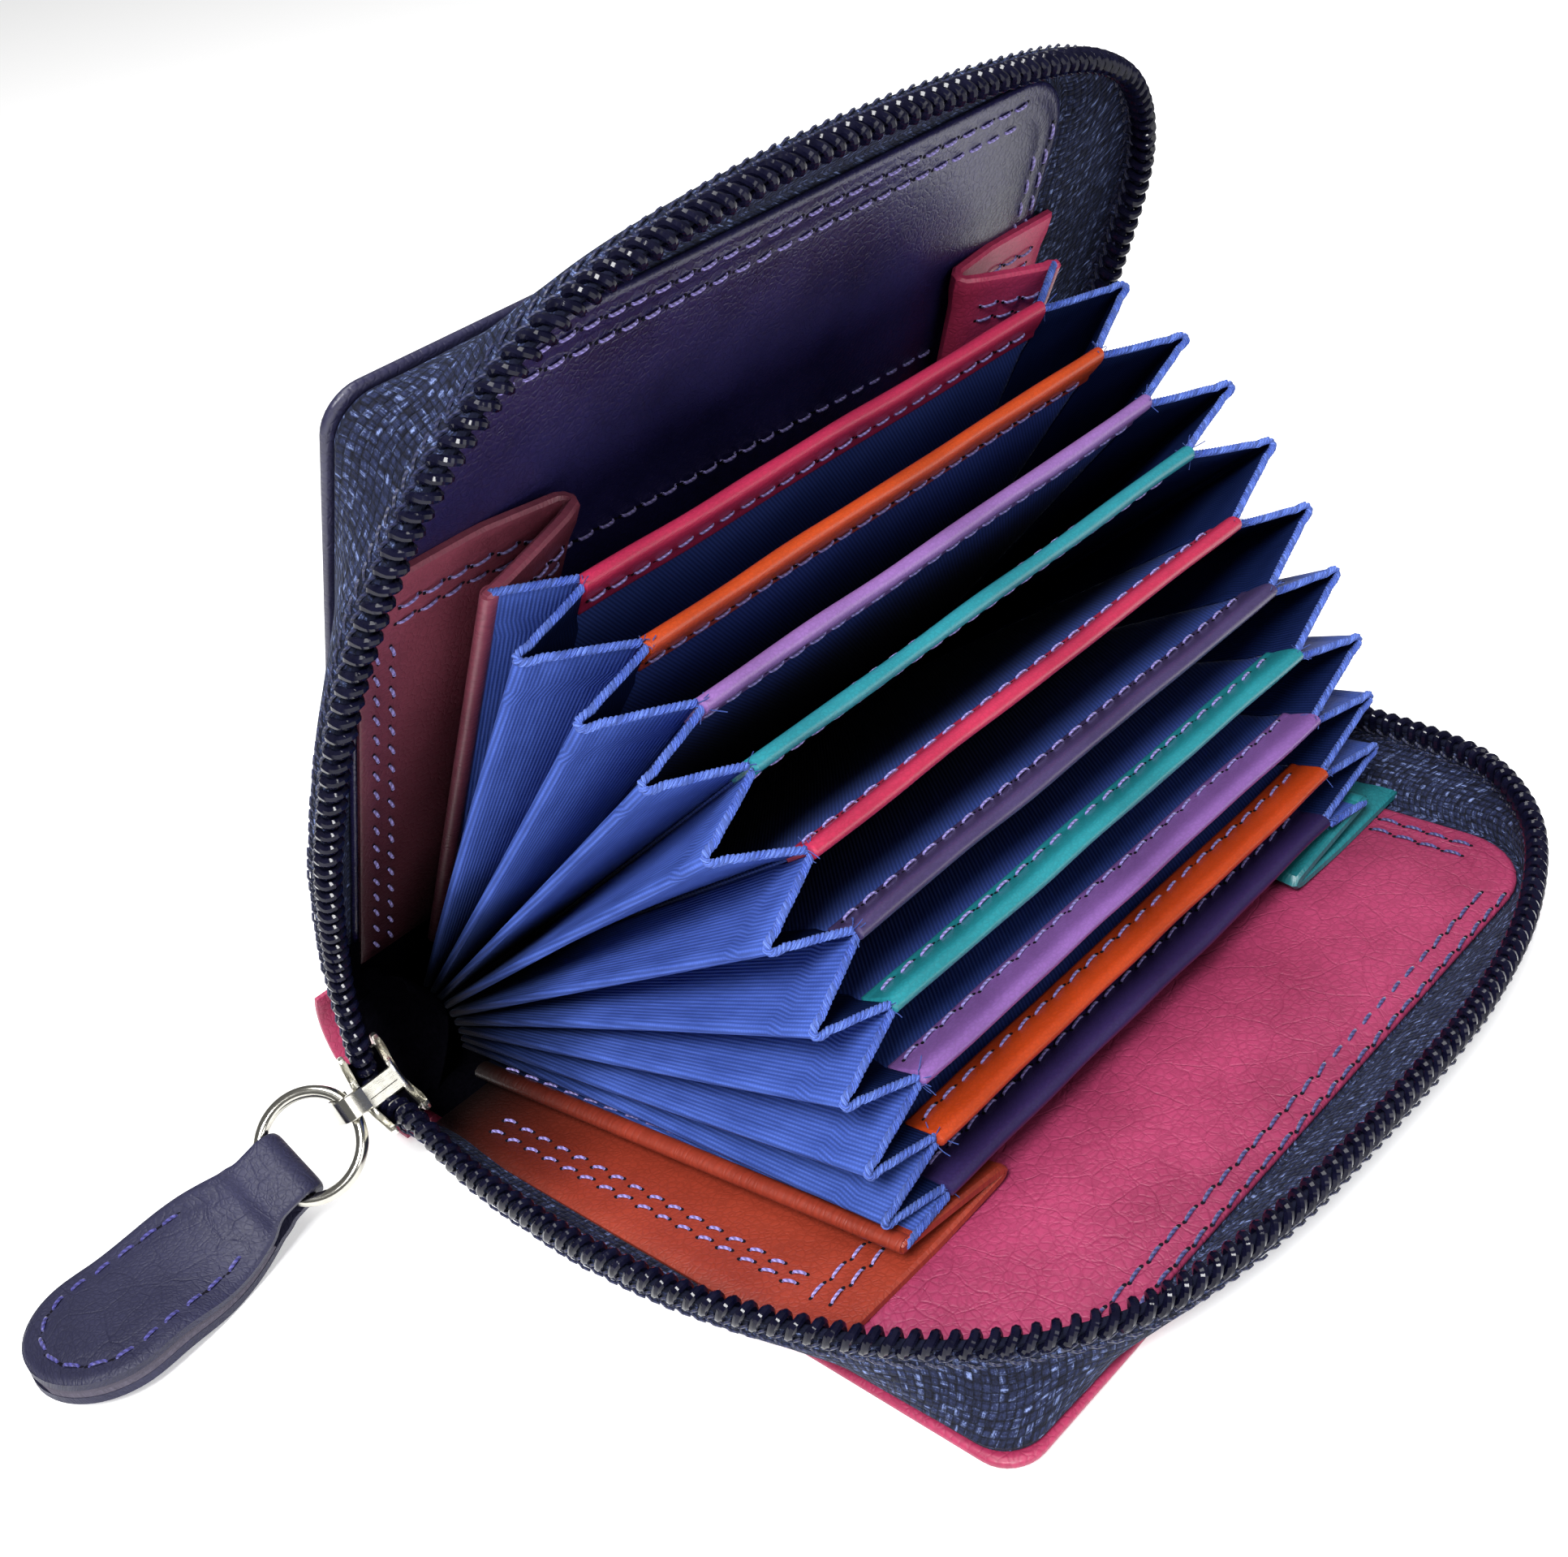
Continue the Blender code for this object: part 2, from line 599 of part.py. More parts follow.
def build():
    for obj in list(bpy.data.objects):
        bpy.data.objects.remove(obj)
    navy = material("navy_leather", (0.020, 0.018, 0.050), 0.45)
    berry = material("berry_leather", (0.36, 0.030, 0.085), 0.5)
    indigo = material("indigo_lining", (0.014, 0.012, 0.040), 0.4)
    magenta = material("magenta_lining", (0.38, 0.022, 0.085), 0.5)
    board = material("grey_board", (0.30, 0.28, 0.25), 0.8)
    tape = material("navy_tape", (0.020, 0.022, 0.050), 0.85)
    nylon = material("nylon_teeth", (0.012, 0.012, 0.028), 0.22)
    nickel = material("nickel", (0.72, 0.70, 0.66), 0.22, 1.0)
    pull = material("pull_leather", (0.026, 0.025, 0.058), 0.45)
    twill = material("divider_twill", (0.020, 0.022, 0.060), 0.85)
    ribbon = material("blue_ribbon", (0.045, 0.095, 0.46), 0.8)
    bindings = [
        material(f"binding_{name}", colour, 0.45)
        for name, colour in (
            ("crimson", (0.45, 0.028, 0.075)),
            ("orange", (0.58, 0.065, 0.010)),
            ("lilac", (0.27, 0.14, 0.42)),
            ("teal", (0.042, 0.25, 0.32)),
            ("raspberry", (0.58, 0.050, 0.11)),
            ("slate", (0.042, 0.032, 0.080)),
            ("teal_deep", (0.035, 0.21, 0.27)),
            ("purple", (0.21, 0.10, 0.32)),
            ("orange_low", (0.58, 0.065, 0.010)),
            ("ink", (0.017, 0.012, 0.050)),
        )
    ]
    gusset_leathers = {
        "gusset_leather_front_top": material("rose_leather", (0.35, 0.065, 0.11), 0.5),
        "gusset_leather_back_top": material("crimson_leather", (0.45, 0.028, 0.075), 0.5),
        "gusset_leather_front_bottom": material("orange_leather", (0.55, 0.065, 0.010), 0.5),
        "gusset_leather_back_bottom": material("teal_leather", (0.020, 0.21, 0.22), 0.5),
    }

    lower = hinge_empty("lower_frame", 0.0)
    upper = hinge_empty("upper_hinge", OPEN_ANGLE)

    leather_line = cover_outline(COVER_HALF_WIDTH, 0.3, COVER_DEPTH, COVER_CORNER)
    board_line = cover_outline(48.4, 2.0, 79.6, 5.0)
    lining_line = cover_outline(48.8, 1.2, 80.2, 5.5)
    for which, place, parent, skin, lining in (
        ("lower", lower_local, lower, berry, magenta),
        ("upper", upper_local, upper, navy, indigo),
    ):
        new_object(f"{which}_cover", *plate(leather_line, *LEATHER, place), skin, parent)
        new_object(f"{which}_board", *plate(board_line, *BOARD, place), board, parent)
        new_object(f"{which}_lining", *plate(lining_line, *LINING, place), lining, parent)
        new_object(f"zip_tape_{which}", *tape_solid(place), tape, parent, smooth=True)
        new_object(f"zip_coil_{which}", *row_solid(place, ROW_START, 9.0), nylon, parent, smooth=True)
        stop_low = HINGE_Z - ROW_OFFSET - ROW_HIGH / 2
        rings = [
            [place(ZIP_FAR_WIDTH + dx, s, z) for dx, s in ((-1.3, 5.9), (1.3, 5.9), (1.3, 8.7), (-1.3, 8.7))]
            for z in (stop_low, stop_low + ROW_HIGH)
        ]
        new_object(f"zip_stop_{which}", *loft(rings), nickel, parent)

    # Spine leather: an arc about the hinge line, from the lower cover's edge to the upper cover's.
    first = -90 + 1.6
    last = -90 + (180 - OPEN_ANGLE) - 1.6
    rings = []
    for x in (-SPINE_HALF_WIDTH, SPINE_HALF_WIDTH):
        outer, inner = [], []
        for k in range(15):
            a = math.radians(first + (last - first) * k / 14)
            for radius, line in ((HINGE_Z, outer), (HINGE_Z - LEATHER[1], inner)):
                line.append((x, radius * math.cos(a), radius * math.sin(a)))
        rings.append(outer + inner[::-1])
    new_object("spine_leather", *loft(rings), berry, lower, smooth=True)

    t = DIVIDER_THICK / 2
    h = DIVIDER_HALF_WIDTH
    for i in range(1, DIVIDERS + 1):
        frame = hinge_empty(f"divider_hinge_{i}", divider_angle(i))
        n = divider_offset(i)
        rings = [[(x, -0.9, z), (x, -60.9, z)] for x, z in ((-h, n - t), (h, n - t), (h, n + t), (-h, n + t))]
        new_object(f"divider_{i}", *loft([[r[k] for r in rings] for k in (0, 1)]), twill, frame)
        new_object(f"binding_{i}", *loft(binding_rings(n)), bindings[i - 1], frame, smooth=True)

    for side, where in ((-1, "front"), (1, "back")):
        for i in range(1, DIVIDERS):
            new_object(f"gusset_{where}_{i}", *loft(gusset_rings(i, i + 1, side)), ribbon, lower)
        for top, which in ((True, "top"), (False, "bottom")):
            name = f"gusset_leather_{where}_{which}"
            new_object(name, *loft(leather_gusset_rings(side, top)), gusset_leathers[name], lower)

    slider_body(nickel, lower)
    bail_body(nickel, lower)
    hook = ring_hook()
    start = np.array((0, HINGE_Y, HINGE_Z)) + hook
    new_object("pull_ring", *ring_solid(), nickel, location=start, smooth=True)
    far = start + RING_OUT * RING_RADIUS * 2
    frames = pull_frames()
    new_object("puller_strap", *loft(strap_rings(frames)), pull, location=far, smooth=True)
    new_object("puller_core", *loft(core_rings(frames)), board, location=far)


build()
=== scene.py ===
import math

import bmesh
import bpy
import numpy as np
from mathutils import Matrix, Vector


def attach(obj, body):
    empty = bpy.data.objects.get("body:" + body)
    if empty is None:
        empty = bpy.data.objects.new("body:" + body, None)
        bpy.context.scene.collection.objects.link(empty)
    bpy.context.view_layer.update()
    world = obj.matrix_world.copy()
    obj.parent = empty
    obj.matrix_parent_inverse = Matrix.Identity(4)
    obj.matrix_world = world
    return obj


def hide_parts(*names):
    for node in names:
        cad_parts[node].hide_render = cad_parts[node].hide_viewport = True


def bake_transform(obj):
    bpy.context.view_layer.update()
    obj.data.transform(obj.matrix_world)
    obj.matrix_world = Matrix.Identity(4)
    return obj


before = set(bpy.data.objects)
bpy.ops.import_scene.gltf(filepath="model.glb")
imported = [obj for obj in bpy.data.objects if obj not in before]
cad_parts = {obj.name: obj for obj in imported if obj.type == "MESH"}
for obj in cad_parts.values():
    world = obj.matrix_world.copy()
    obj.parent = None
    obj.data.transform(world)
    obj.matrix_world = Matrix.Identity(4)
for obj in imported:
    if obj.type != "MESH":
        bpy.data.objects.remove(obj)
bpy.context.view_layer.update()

MM = 0.001
rng = np.random.default_rng(11)

# ---------------------------------------------------------------- the frame's own measures, in millimetres

HINGE_Y, HINGE_Z = 41.25, 11.2
OPEN = 65.3
TIPS = (62.8, 54.9, 47.9, 41.2, 32.7, 24.8, 17.4, 9.9, 3.3, -2.8)
HALF = 34.5


def P(x, s, n, deg):
    """Points s along a plane that stands at an angle about the hinge line, n off that plane."""
    a = np.radians(deg)
    x, s, n, a = np.broadcast_arrays(np.asarray(x, float), s, n, a)
    return np.stack([x, HINGE_Y - s * np.cos(a) + n * np.sin(a), HINGE_Z + s * np.sin(a) + n * np.cos(a)], -1)


def lower(x, s, z):
    return P(x, s, np.asarray(z, float) - HINGE_Z, 0.0)


def upper(x, s, z):
    return P(x, s, HINGE_Z - np.asarray(z, float), OPEN)


def root_offset(i):
    return (5.5 - i) * 0.9


def leaf_angle(i):
    return TIPS[i - 1] - math.degrees(math.atan(root_offset(i) / 60))


# ---------------------------------------------------------------- lines


def total(line):
    return np.r_[0, np.cumsum(np.linalg.norm(np.diff(line, axis=0), axis=1))]


def at_length(line, want):
    run = total(line)
    return np.stack([np.interp(want, run, line[:, k]) for k in range(line.shape[1])], -1)


def even(line, count):
    line = np.asarray(line, float)
    return at_length(line, np.linspace(0, total(line)[-1], count))


def spline(points, count):
    p = np.asarray(points, float)
    pad = np.vstack([2 * p[0] - p[1], p, 2 * p[-1] - p[-2]])
    t = np.linspace(0, 1, 24, endpoint=False)[:, None]
    out = []
    for k in range(len(pad) - 3):
        a, b, c, d = pad[k : k + 4]
        out.append(0.5 * (2 * b + (c - a) * t + (2 * a - 5 * b + 4 * c - d) * t**2 + (3 * b - a - 3 * c + d) * t**3))
    return even(np.vstack([*out, p[-1:]]), count)


def unit(v):
    v = np.asarray(v, float)
    return v / np.maximum(np.linalg.norm(v, axis=-1, keepdims=True), 1e-9)


def ease(t):
    t = np.clip(t, 0, 1)
    return t * t * (3 - 2 * t)


# ---------------------------------------------------------------- meshes


def grid_faces(rows, cols, close_r=False, close_c=False):
    r, c = np.meshgrid(np.arange(rows if close_r else rows - 1), np.arange(cols if close_c else cols - 1), indexing="ij")
    r2, c2 = (r + 1) % rows, (c + 1) % cols
    return np.stack([r * cols + c, r2 * cols + c, r2 * cols + c2, r * cols + c2], -1).reshape(-1, 4)


class Build:
    """Collects the points, faces and texture places of one piece, in millimetres."""

    def __init__(self):
        self.verts, self.uvs, self.faces, self.mats = [], [], [], []
        self.count = 0

    def add(self, verts, faces, uv=None, mat=0):
        verts = np.asarray(verts, float).reshape(-1, 3)
        uv = np.zeros((len(verts), 2)) if uv is None else np.asarray(uv, float).reshape(-1, 2)
        self.verts.append(verts)
        self.uvs.append(uv)
        if isinstance(faces, np.ndarray):
            made = (faces + self.count).tolist()
        else:
            made = [[k + self.count for k in face] for face in faces]
        self.faces += made
        self.mats += [mat] * len(made)
        self.count += len(verts)

    def loft(self, rings, uv=None, mat=0, closed=False, caps=True):
        rings = np.asarray(rings, float)
        rows, cols = rings.shape[:2]
        if uv is None:
            around = np.linalg.norm(np.diff(np.concatenate([rings, rings[:, :1]], 1), axis=1), axis=2)
            around = np.concatenate([np.zeros((rows, 1)), np.cumsum(around, 1)[:, :-1]], 1)
            run = np.linalg.norm(np.diff(rings.mean(1), axis=0), axis=1)
            run = np.r_[0, np.cumsum(run)]
            uv = np.stack([around, np.repeat(run[:, None], cols, 1)], -1)
        faces = grid_faces(rows, cols, closed, True).tolist()
        if caps and not closed:
            faces.append(list(range(cols))[::-1])
            faces.append([(rows - 1) * cols + k for k in range(cols)])
        self.add(rings, faces, uv, mat)

    def piece(self, name, mats, body=None, blend=None, angle=42, replaces=(), recalc=True):
        mesh = bpy.data.meshes.new(name)
        mesh.from_pydata((np.vstack(self.verts) * MM).tolist(), [], self.faces)
        layer = mesh.uv_layers.new(name="UVMap")
        loops = np.empty(len(mesh.loops), np.int32)
        mesh.loops.foreach_get("vertex_index", loops)
        layer.data.foreach_set("uv", (np.vstack(self.uvs)[loops] * 0.01).astype(np.float32).ravel())
        mesh.polygons.foreach_set("material_index", np.array(self.mats, np.int32))
        for mat in mats if isinstance(mats, (list, tuple)) else [mats]:
            mesh.materials.append(mat)
        if recalc:
            work = bmesh.new()
            work.from_mesh(mesh)
            bmesh.ops.recalc_face_normals(work, faces=work.faces)
            work.to_mesh(mesh)
            work.free()
        mesh.shade_smooth()
        mesh.set_sharp_from_angle(angle=math.radians(angle))
        obj = bpy.data.objects.new(name, mesh)
        bpy.context.scene.collection.objects.link(obj)
        if body:
            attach(obj, body)
        if blend:
            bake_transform(obj)
        if replaces:
            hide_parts(*([replaces] if isinstance(replaces, str) else replaces))
        return obj


def slab(build, grid, thick, mat=0, edge=0.45, flip_uv=False, under=None):
    """A sheet of this thickness along a grid of middle points, with softened edges. under is the other face's material."""
    grid = np.asarray(grid, float)
    rows, cols = grid.shape[:2]
    thick = np.broadcast_to(np.asarray(thick, float), (rows, cols)).copy()

    def grow(g, axis):
        g = np.moveaxis(g, axis, 0)
        first = g[0] + unit(g[0] - g[1]) * 0.4 * soft
        last = g[-1] + unit(g[-1] - g[-2]) * 0.4 * soft
        return np.moveaxis(np.concatenate([first[None], g, last[None]]), 0, axis)

    soft = float(thick.mean())
    grid = grow(grow(grid, 0), 1)
    thick = np.pad(thick, 1, mode="edge")
    shape = np.ones_like(thick)
    shape[[0, -1], :] = edge
    shape[:, [0, -1]] = edge
    rows, cols = grid.shape[:2]
    normal = unit(np.cross(np.gradient(grid, axis=1), np.gradient(grid, axis=0)))
    top, bottom = grid + normal * (thick * shape / 2)[..., None], grid - normal * (thick * shape / 2)[..., None]
    u = np.concatenate([np.zeros((rows, 1)), np.cumsum(np.linalg.norm(np.diff(grid, axis=1), axis=2), 1)], 1)
    v = np.concatenate([np.zeros((1, cols)), np.cumsum(np.linalg.norm(np.diff(grid, axis=0), axis=2), 0)], 0)
    uv = np.stack([v, u] if flip_uv else [u, v], -1).reshape(-1, 2)
    faces = grid_faces(rows, cols)
    n = rows * cols
    made = [faces, faces[:, ::-1] + n]
    rim = np.r_[
        np.arange(cols),
        np.arange(1, rows) * cols + cols - 1,
        (rows - 1) * cols + np.arange(cols - 2, -1, -1),
        np.arange(rows - 2, 0, -1) * cols,
    ]
    nxt = np.roll(rim, -1)
    made.append(np.stack([rim, nxt, nxt + n, rim + n], -1))
    build.add(np.concatenate([top.reshape(-1, 3), bottom.reshape(-1, 3)]), np.vstack(made), np.concatenate([uv, uv]), mat)
    if under is not None:
        first = len(build.mats) - sum(len(part) for part in made) + len(faces)
        build.mats[first : first + len(faces)] = [under] * len(faces)
    return grid


def flat_size(grid):
    """Mean width across the columns and mean length along the rows of a grid of middle points."""
    grid = np.asarray(grid, float)
    across = np.linalg.norm(np.diff(grid, axis=1), axis=2).sum(1).mean()
    down = np.linalg.norm(np.diff(grid, axis=0), axis=2).sum(0).mean()
    return (float(across) * MM, float(down) * MM)


def frames_along(line, ups=None):
    """Unit tangents and two unit sideways directions along a line."""
    line = np.asarray(line, float)
    tangent = unit(np.gradient(line, axis=0))
    if ups is None:
        ups = np.empty_like(line)
        up = np.cross(tangent[0], (0.3, 0.5, 0.81))
        for k, t in enumerate(tangent):
            up = up - t * np.dot(up, t)
            up /= max(np.linalg.norm(up), 1e-9)
            ups[k] = up
    ups = np.broadcast_to(np.asarray(ups, float), line.shape)
    ups = unit(ups - tangent * (ups * tangent).sum(1)[:, None])
    return tangent, ups, np.cross(tangent, ups)


def tube(build, line, radius, sides=8, mat=0, ups=None, high=1.0, caps=True):
    """A round cord along a line. high squeezes it along its up direction."""
    line = np.asarray(line, float)
    _, up, side = frames_along(line, ups)
    radius = np.broadcast_to(np.asarray(radius, float), (len(line),))
    a = np.arange(sides) * 2 * math.pi / sides
    ring = up[:, None] * (np.sin(a) * high)[None, :, None] + side[:, None] * np.cos(a)[None, :, None]
    rings = line[:, None] + ring * radius[:, None, None]
    run = total(line)
    uv = np.stack(np.broadcast_arrays((a / (2 * math.pi) * 1.2)[None], run[:, None]), -1)
    build.loft(rings, uv, mat, caps=caps)


def twisted(build, line, radius, pitch, strands=2, sides=6, mat=0, ups=None):
    """A cord laid from strands that turn round each other."""
    line = np.asarray(line, float)
    run = total(line)
    line = at_length(line, np.linspace(0, run[-1], max(8, int(run[-1] / pitch * 8))))
    run = total(line)
    _, up, side = frames_along(line, ups)
    thin = radius * 0.56
    for k in range(strands):
        a = 2 * math.pi * (run / pitch + k / strands)
        centre = line + (up * np.sin(a)[:, None] + side * np.cos(a)[:, None]) * (radius - thin)
        tube(build, centre, thin, sides, mat)


def stitches(build, line, normal, pitch=3.0, length=2.25, radius=0.2, skew=0.12, mat=0, hole=1, start=0.5, lift=0.05):
    """Lockstitches along a line on a surface: each an arched bit of thread that dives into a hole at both ends."""
    line = np.asarray(line, float)
    run = total(line)
    normal = np.broadcast_to(np.asarray(normal, float), line.shape)
    count = int((run[-1] - start) / pitch)
    for k in range(count):
        jig = rng.normal(0, 0.05, 3)
        first = start + k * pitch + jig[0]
        w = first + np.linspace(0, length + jig[1], 7)
        c = at_length(line, w)
        up = unit(np.stack([np.interp(w, run, normal[:, m]) for m in range(3)], -1))
        tangent = unit(np.gradient(c, axis=0))
        side = np.cross(up, tangent)
        t = np.linspace(-1, 1, 7)
        high = (1 - np.abs(t) ** 3.2) * (radius * 0.95 + lift) - np.abs(t) ** 8 * radius * 1.5
        c = c + up * high[:, None] + side * (t * (skew + jig[2] * 0.8))[:, None]
        fat = radius * (0.72 + 0.28 * (1 - np.abs(t) ** 2.5))
        tube(build, c, fat, 6, mat, ups=up, high=0.85)
        # A near-black disc and cone at each end mark the needle hole: painted shade.
        for end in (0, -1):
            if hole is None:
                continue
            a = np.arange(8) * math.pi / 4
            centre = at_length(line, w[[end]])[0] + side[end] * t[end] * (skew + jig[2] * 0.8) + up[end] * 0.03
            disc = centre + radius * (1.55 * np.cos(a)[:, None] * tangent[end] + 1.15 * np.sin(a)[:, None] * side[end])
            build.add(np.vstack([disc, centre - up[end] * 0.25]), [list(range(8)), *[[k, (k + 1) % 8, 8] for k in range(8)]], None, hole)


def soft_box(build, centre, axes, size, bevel=0.15, mat=0, segments=3):
    """A block with rounded edges. axes are three unit directions, size the full lengths along them."""
    work = bmesh.new()
    bmesh.ops.create_cube(work, size=1.0)
    for v in work.verts:
        v.co = Vector((v.co.x * size[0], v.co.y * size[1], v.co.z * size[2]))
    bmesh.ops.bevel(work, geom=list(work.edges), offset=bevel, segments=segments, profile=0.5, affect="EDGES")
    work.verts.index_update()
    axes = np.asarray(axes, float)
    points = np.array([v.co for v in work.verts]) @ axes + np.asarray(centre, float)
    faces = [[v.index for v in f.verts] for f in work.faces]
    build.add(points, faces, points[:, :2], mat)
    work.free()


def rounded(x0, x1, s0, s1, front, back, right, inset=0.0, arc=8, side=18, across=26):
    """A rectangle with round corners as a closed line, always with the same number of points."""
    x0, x1, s0, s1 = x0 + inset, x1 - inset, s0 + inset, s1 - inset
    f, b, r = max(front - inset, 0.3), max(back - inset, 0.3), max(right - inset, 0.3)
    corners = ((x1 - b, s0 + b, b, -90, side), (x1 - r, s1 - r, r, 0, across), (x0 + f, s1 - f, f, 90, side), (x0 + b, s0 + b, b, 180, across))
    arcs = []
    for cx, cs, r, first, _ in corners:
        a = np.radians(first + 90 * np.arange(arc + 1) / arc)
        arcs.append(np.stack([cx + r * np.cos(a), cs + r * np.sin(a)], -1))
    out = []
    for k, here in enumerate(arcs):
        nxt = arcs[(k + 1) % 4][0]
        t = np.linspace(0, 1, corners[k][4] + 2)[1:-1, None]
        out += [here, here[-1] * (1 - t) + nxt * t]
    return np.vstack(out)


# ---------------------------------------------------------------- materials


class Shade:
    """A short way to write a material made only of procedures: numbers or sockets in, sockets out."""

    def __init__(self, name):
        self.mat = bpy.data.materials.new(name)
        self.mat.use_nodes = True
        self.tree = self.mat.node_tree
        self.bsdf = self.tree.nodes["Principled BSDF"]
        place = self.tree.nodes.new("ShaderNodeTexCoord")
        self.mm = self.vector("SCALE", place.outputs["UV"], scale=100000.0 * MM)
        parts = self.tree.nodes.new("ShaderNodeSeparateXYZ")
        self.tree.links.new(self.mm, parts.inputs[0])
        self.u, self.v = parts.outputs[0], parts.outputs[1]

    def put(self, value, socket):
        if isinstance(value, bpy.types.NodeSocket):
            self.tree.links.new(value, socket)
        elif isinstance(value, tuple) and len(value) == 3 and socket.type == "RGBA":
            socket.default_value = (*value, 1.0)
        else:
            socket.default_value = value

    def math(self, op, *values, clamp=False):
        node = self.tree.nodes.new("ShaderNodeMath")
        node.operation = op
        node.use_clamp = clamp
        for k, value in enumerate(values):
            self.put(value, node.inputs[k])
        return node.outputs[0]

    def vector(self, op, a, b=None, scale=None):
        node = self.tree.nodes.new("ShaderNodeVectorMath")
        node.operation = op
        self.put(a, node.inputs[0])
        if b is not None:
            self.put(b, node.inputs[1])
        if scale is not None:
            self.put(scale, node.inputs["Scale"])
        return node.outputs["Vector"]

    def combine(self, x, y, z=0.0):
        node = self.tree.nodes.new("ShaderNodeCombineXYZ")
        for k, value in enumerate((x, y, z)):
            self.put(value, node.inputs[k])
        return node.outputs[0]

    def noise(self, scale, detail=2.0, rough=0.5, vector=None, colour=False):
        node = self.tree.nodes.new("ShaderNodeTexNoise")
        self.put(self.mm if vector is None else vector, node.inputs["Vector"])
        node.inputs["Scale"].default_value = scale
        node.inputs["Detail"].default_value = detail
        node.inputs["Roughness"].default_value = rough
        return node.outputs[1 if colour else 0]

    def cells(self, scale, vector=None, feature="DISTANCE_TO_EDGE"):
        node = self.tree.nodes.new("ShaderNodeTexVoronoi")
        node.feature = feature
        self.put(self.mm if vector is None else vector, node.inputs["Vector"])
        node.inputs["Scale"].default_value = scale
        return node.outputs[0]

    def warp(self, amount, scale, vector=None):
        base = self.mm if vector is None else vector
        shift = self.vector("SUBTRACT", self.noise(scale, 2.0, 0.5, vector, True), (0.5, 0.5, 0.5))
        return self.vector("ADD", base, self.vector("SCALE", shift, scale=amount))

    def span(self, value, a0, a1, b0=0.0, b1=1.0):
        node = self.tree.nodes.new("ShaderNodeMapRange")
        for k, item in enumerate((value, a0, a1, b0, b1)):
            self.put(item, node.inputs[k])
        return node.outputs[0]

    def mix(self, share, a, b, how="MIX"):
        node = self.tree.nodes.new("ShaderNodeMix")
        node.data_type = "RGBA"
        node.blend_type = how
        self.put(share, node.inputs[0])
        self.put(a, node.inputs[6])
        self.put(b, node.inputs[7])
        return node.outputs[2]

    def grey(self, value):
        return self.combine(value, value, value)

    def fade(self, colour, shade):
        """The colour with painted shade, darker towards a fold's root: shade is the span along v and the share left at
        its start.
        """
        rise = self.math("POWER", self.span(self.v, *shade[0]), 1.7)
        return self.mix(1.0, colour, self.grey(self.math("MULTIPLY_ADD", rise, 1.0 - shade[1], shade[1])), "MULTIPLY")

    def finish(self, colour, rough, height=None, deep=0.05, metal=0.0, coat=0.0, sheen=0.0, sheen_tint=(1.0, 1.0, 1.0), specular=0.5):
        b = self.bsdf.inputs
        self.put(colour, b["Base Color"])
        self.put(rough, b["Roughness"])
        self.put(metal, b["Metallic"])
        b["Coat Weight"].default_value = coat
        b["Coat Roughness"].default_value = 0.25
        b["Sheen Weight"].default_value = sheen
        b["Sheen Roughness"].default_value = 0.4
        b["Sheen Tint"].default_value = (*sheen_tint, 1.0)
        b["Specular IOR Level"].default_value = specular
        if height is not None:
            bump = self.tree.nodes.new("ShaderNodeBump")
            bump.inputs["Strength"].default_value = 1.0
            bump.inputs["Distance"].default_value = deep * MM
            self.put(height, bump.inputs["Height"])
            self.tree.links.new(bump.outputs[0], b["Normal"])
        return self.mat


def leather(name, light, dark, rough=0.42, pebble=0.9, deep=0.05, crease=0.0, coat=0.1, fine=0.45, specular=0.45, shade=None):
    m = Shade(name)
    cells = m.cells(1 / pebble, m.warp(0.5, 0.9))
    grain = m.span(cells, 0.0, 0.2)
    small = m.noise(4.2, 5.0, 0.62)
    height = m.math("ADD", m.math("MULTIPLY", grain, 1 - fine), m.math("MULTIPLY", small, fine))
    if crease:
        long = m.cells(0.22, m.warp(3.6, 0.16))
        line = m.span(long, 0.0, 0.035)
        short = m.span(m.cells(0.55, m.warp(1.8, 0.35)), 0.0, 0.06)
        height = m.math("ADD", height, m.math("MULTIPLY", line, crease))
        height = m.math("ADD", height, m.math("MULTIPLY", short, crease * 0.5))
        grain = m.math("MULTIPLY", grain, m.math("MULTIPLY_ADD", line, 0.3, 0.7))
    broad = m.noise(0.055, 3.0, 0.55)
    colour = m.mix(m.span(broad, 0.36, 0.64), dark, light)
    colour = m.mix(1.0, colour, m.grey(m.math("MULTIPLY_ADD", grain, 0.16, 0.86)), "MULTIPLY")
    colour = m.mix(1.0, colour, m.grey(m.math("MULTIPLY_ADD", small, 0.24, 0.88)), "MULTIPLY")
    if shade:
        colour = m.fade(colour, shade)
    gloss = m.math("ADD", m.math("MULTIPLY_ADD", small, 0.16, rough - 0.06), m.math("MULTIPLY_ADD", broad, 0.16, -0.08))
    return m.finish(colour, gloss, height, deep, coat=coat, specular=specular)


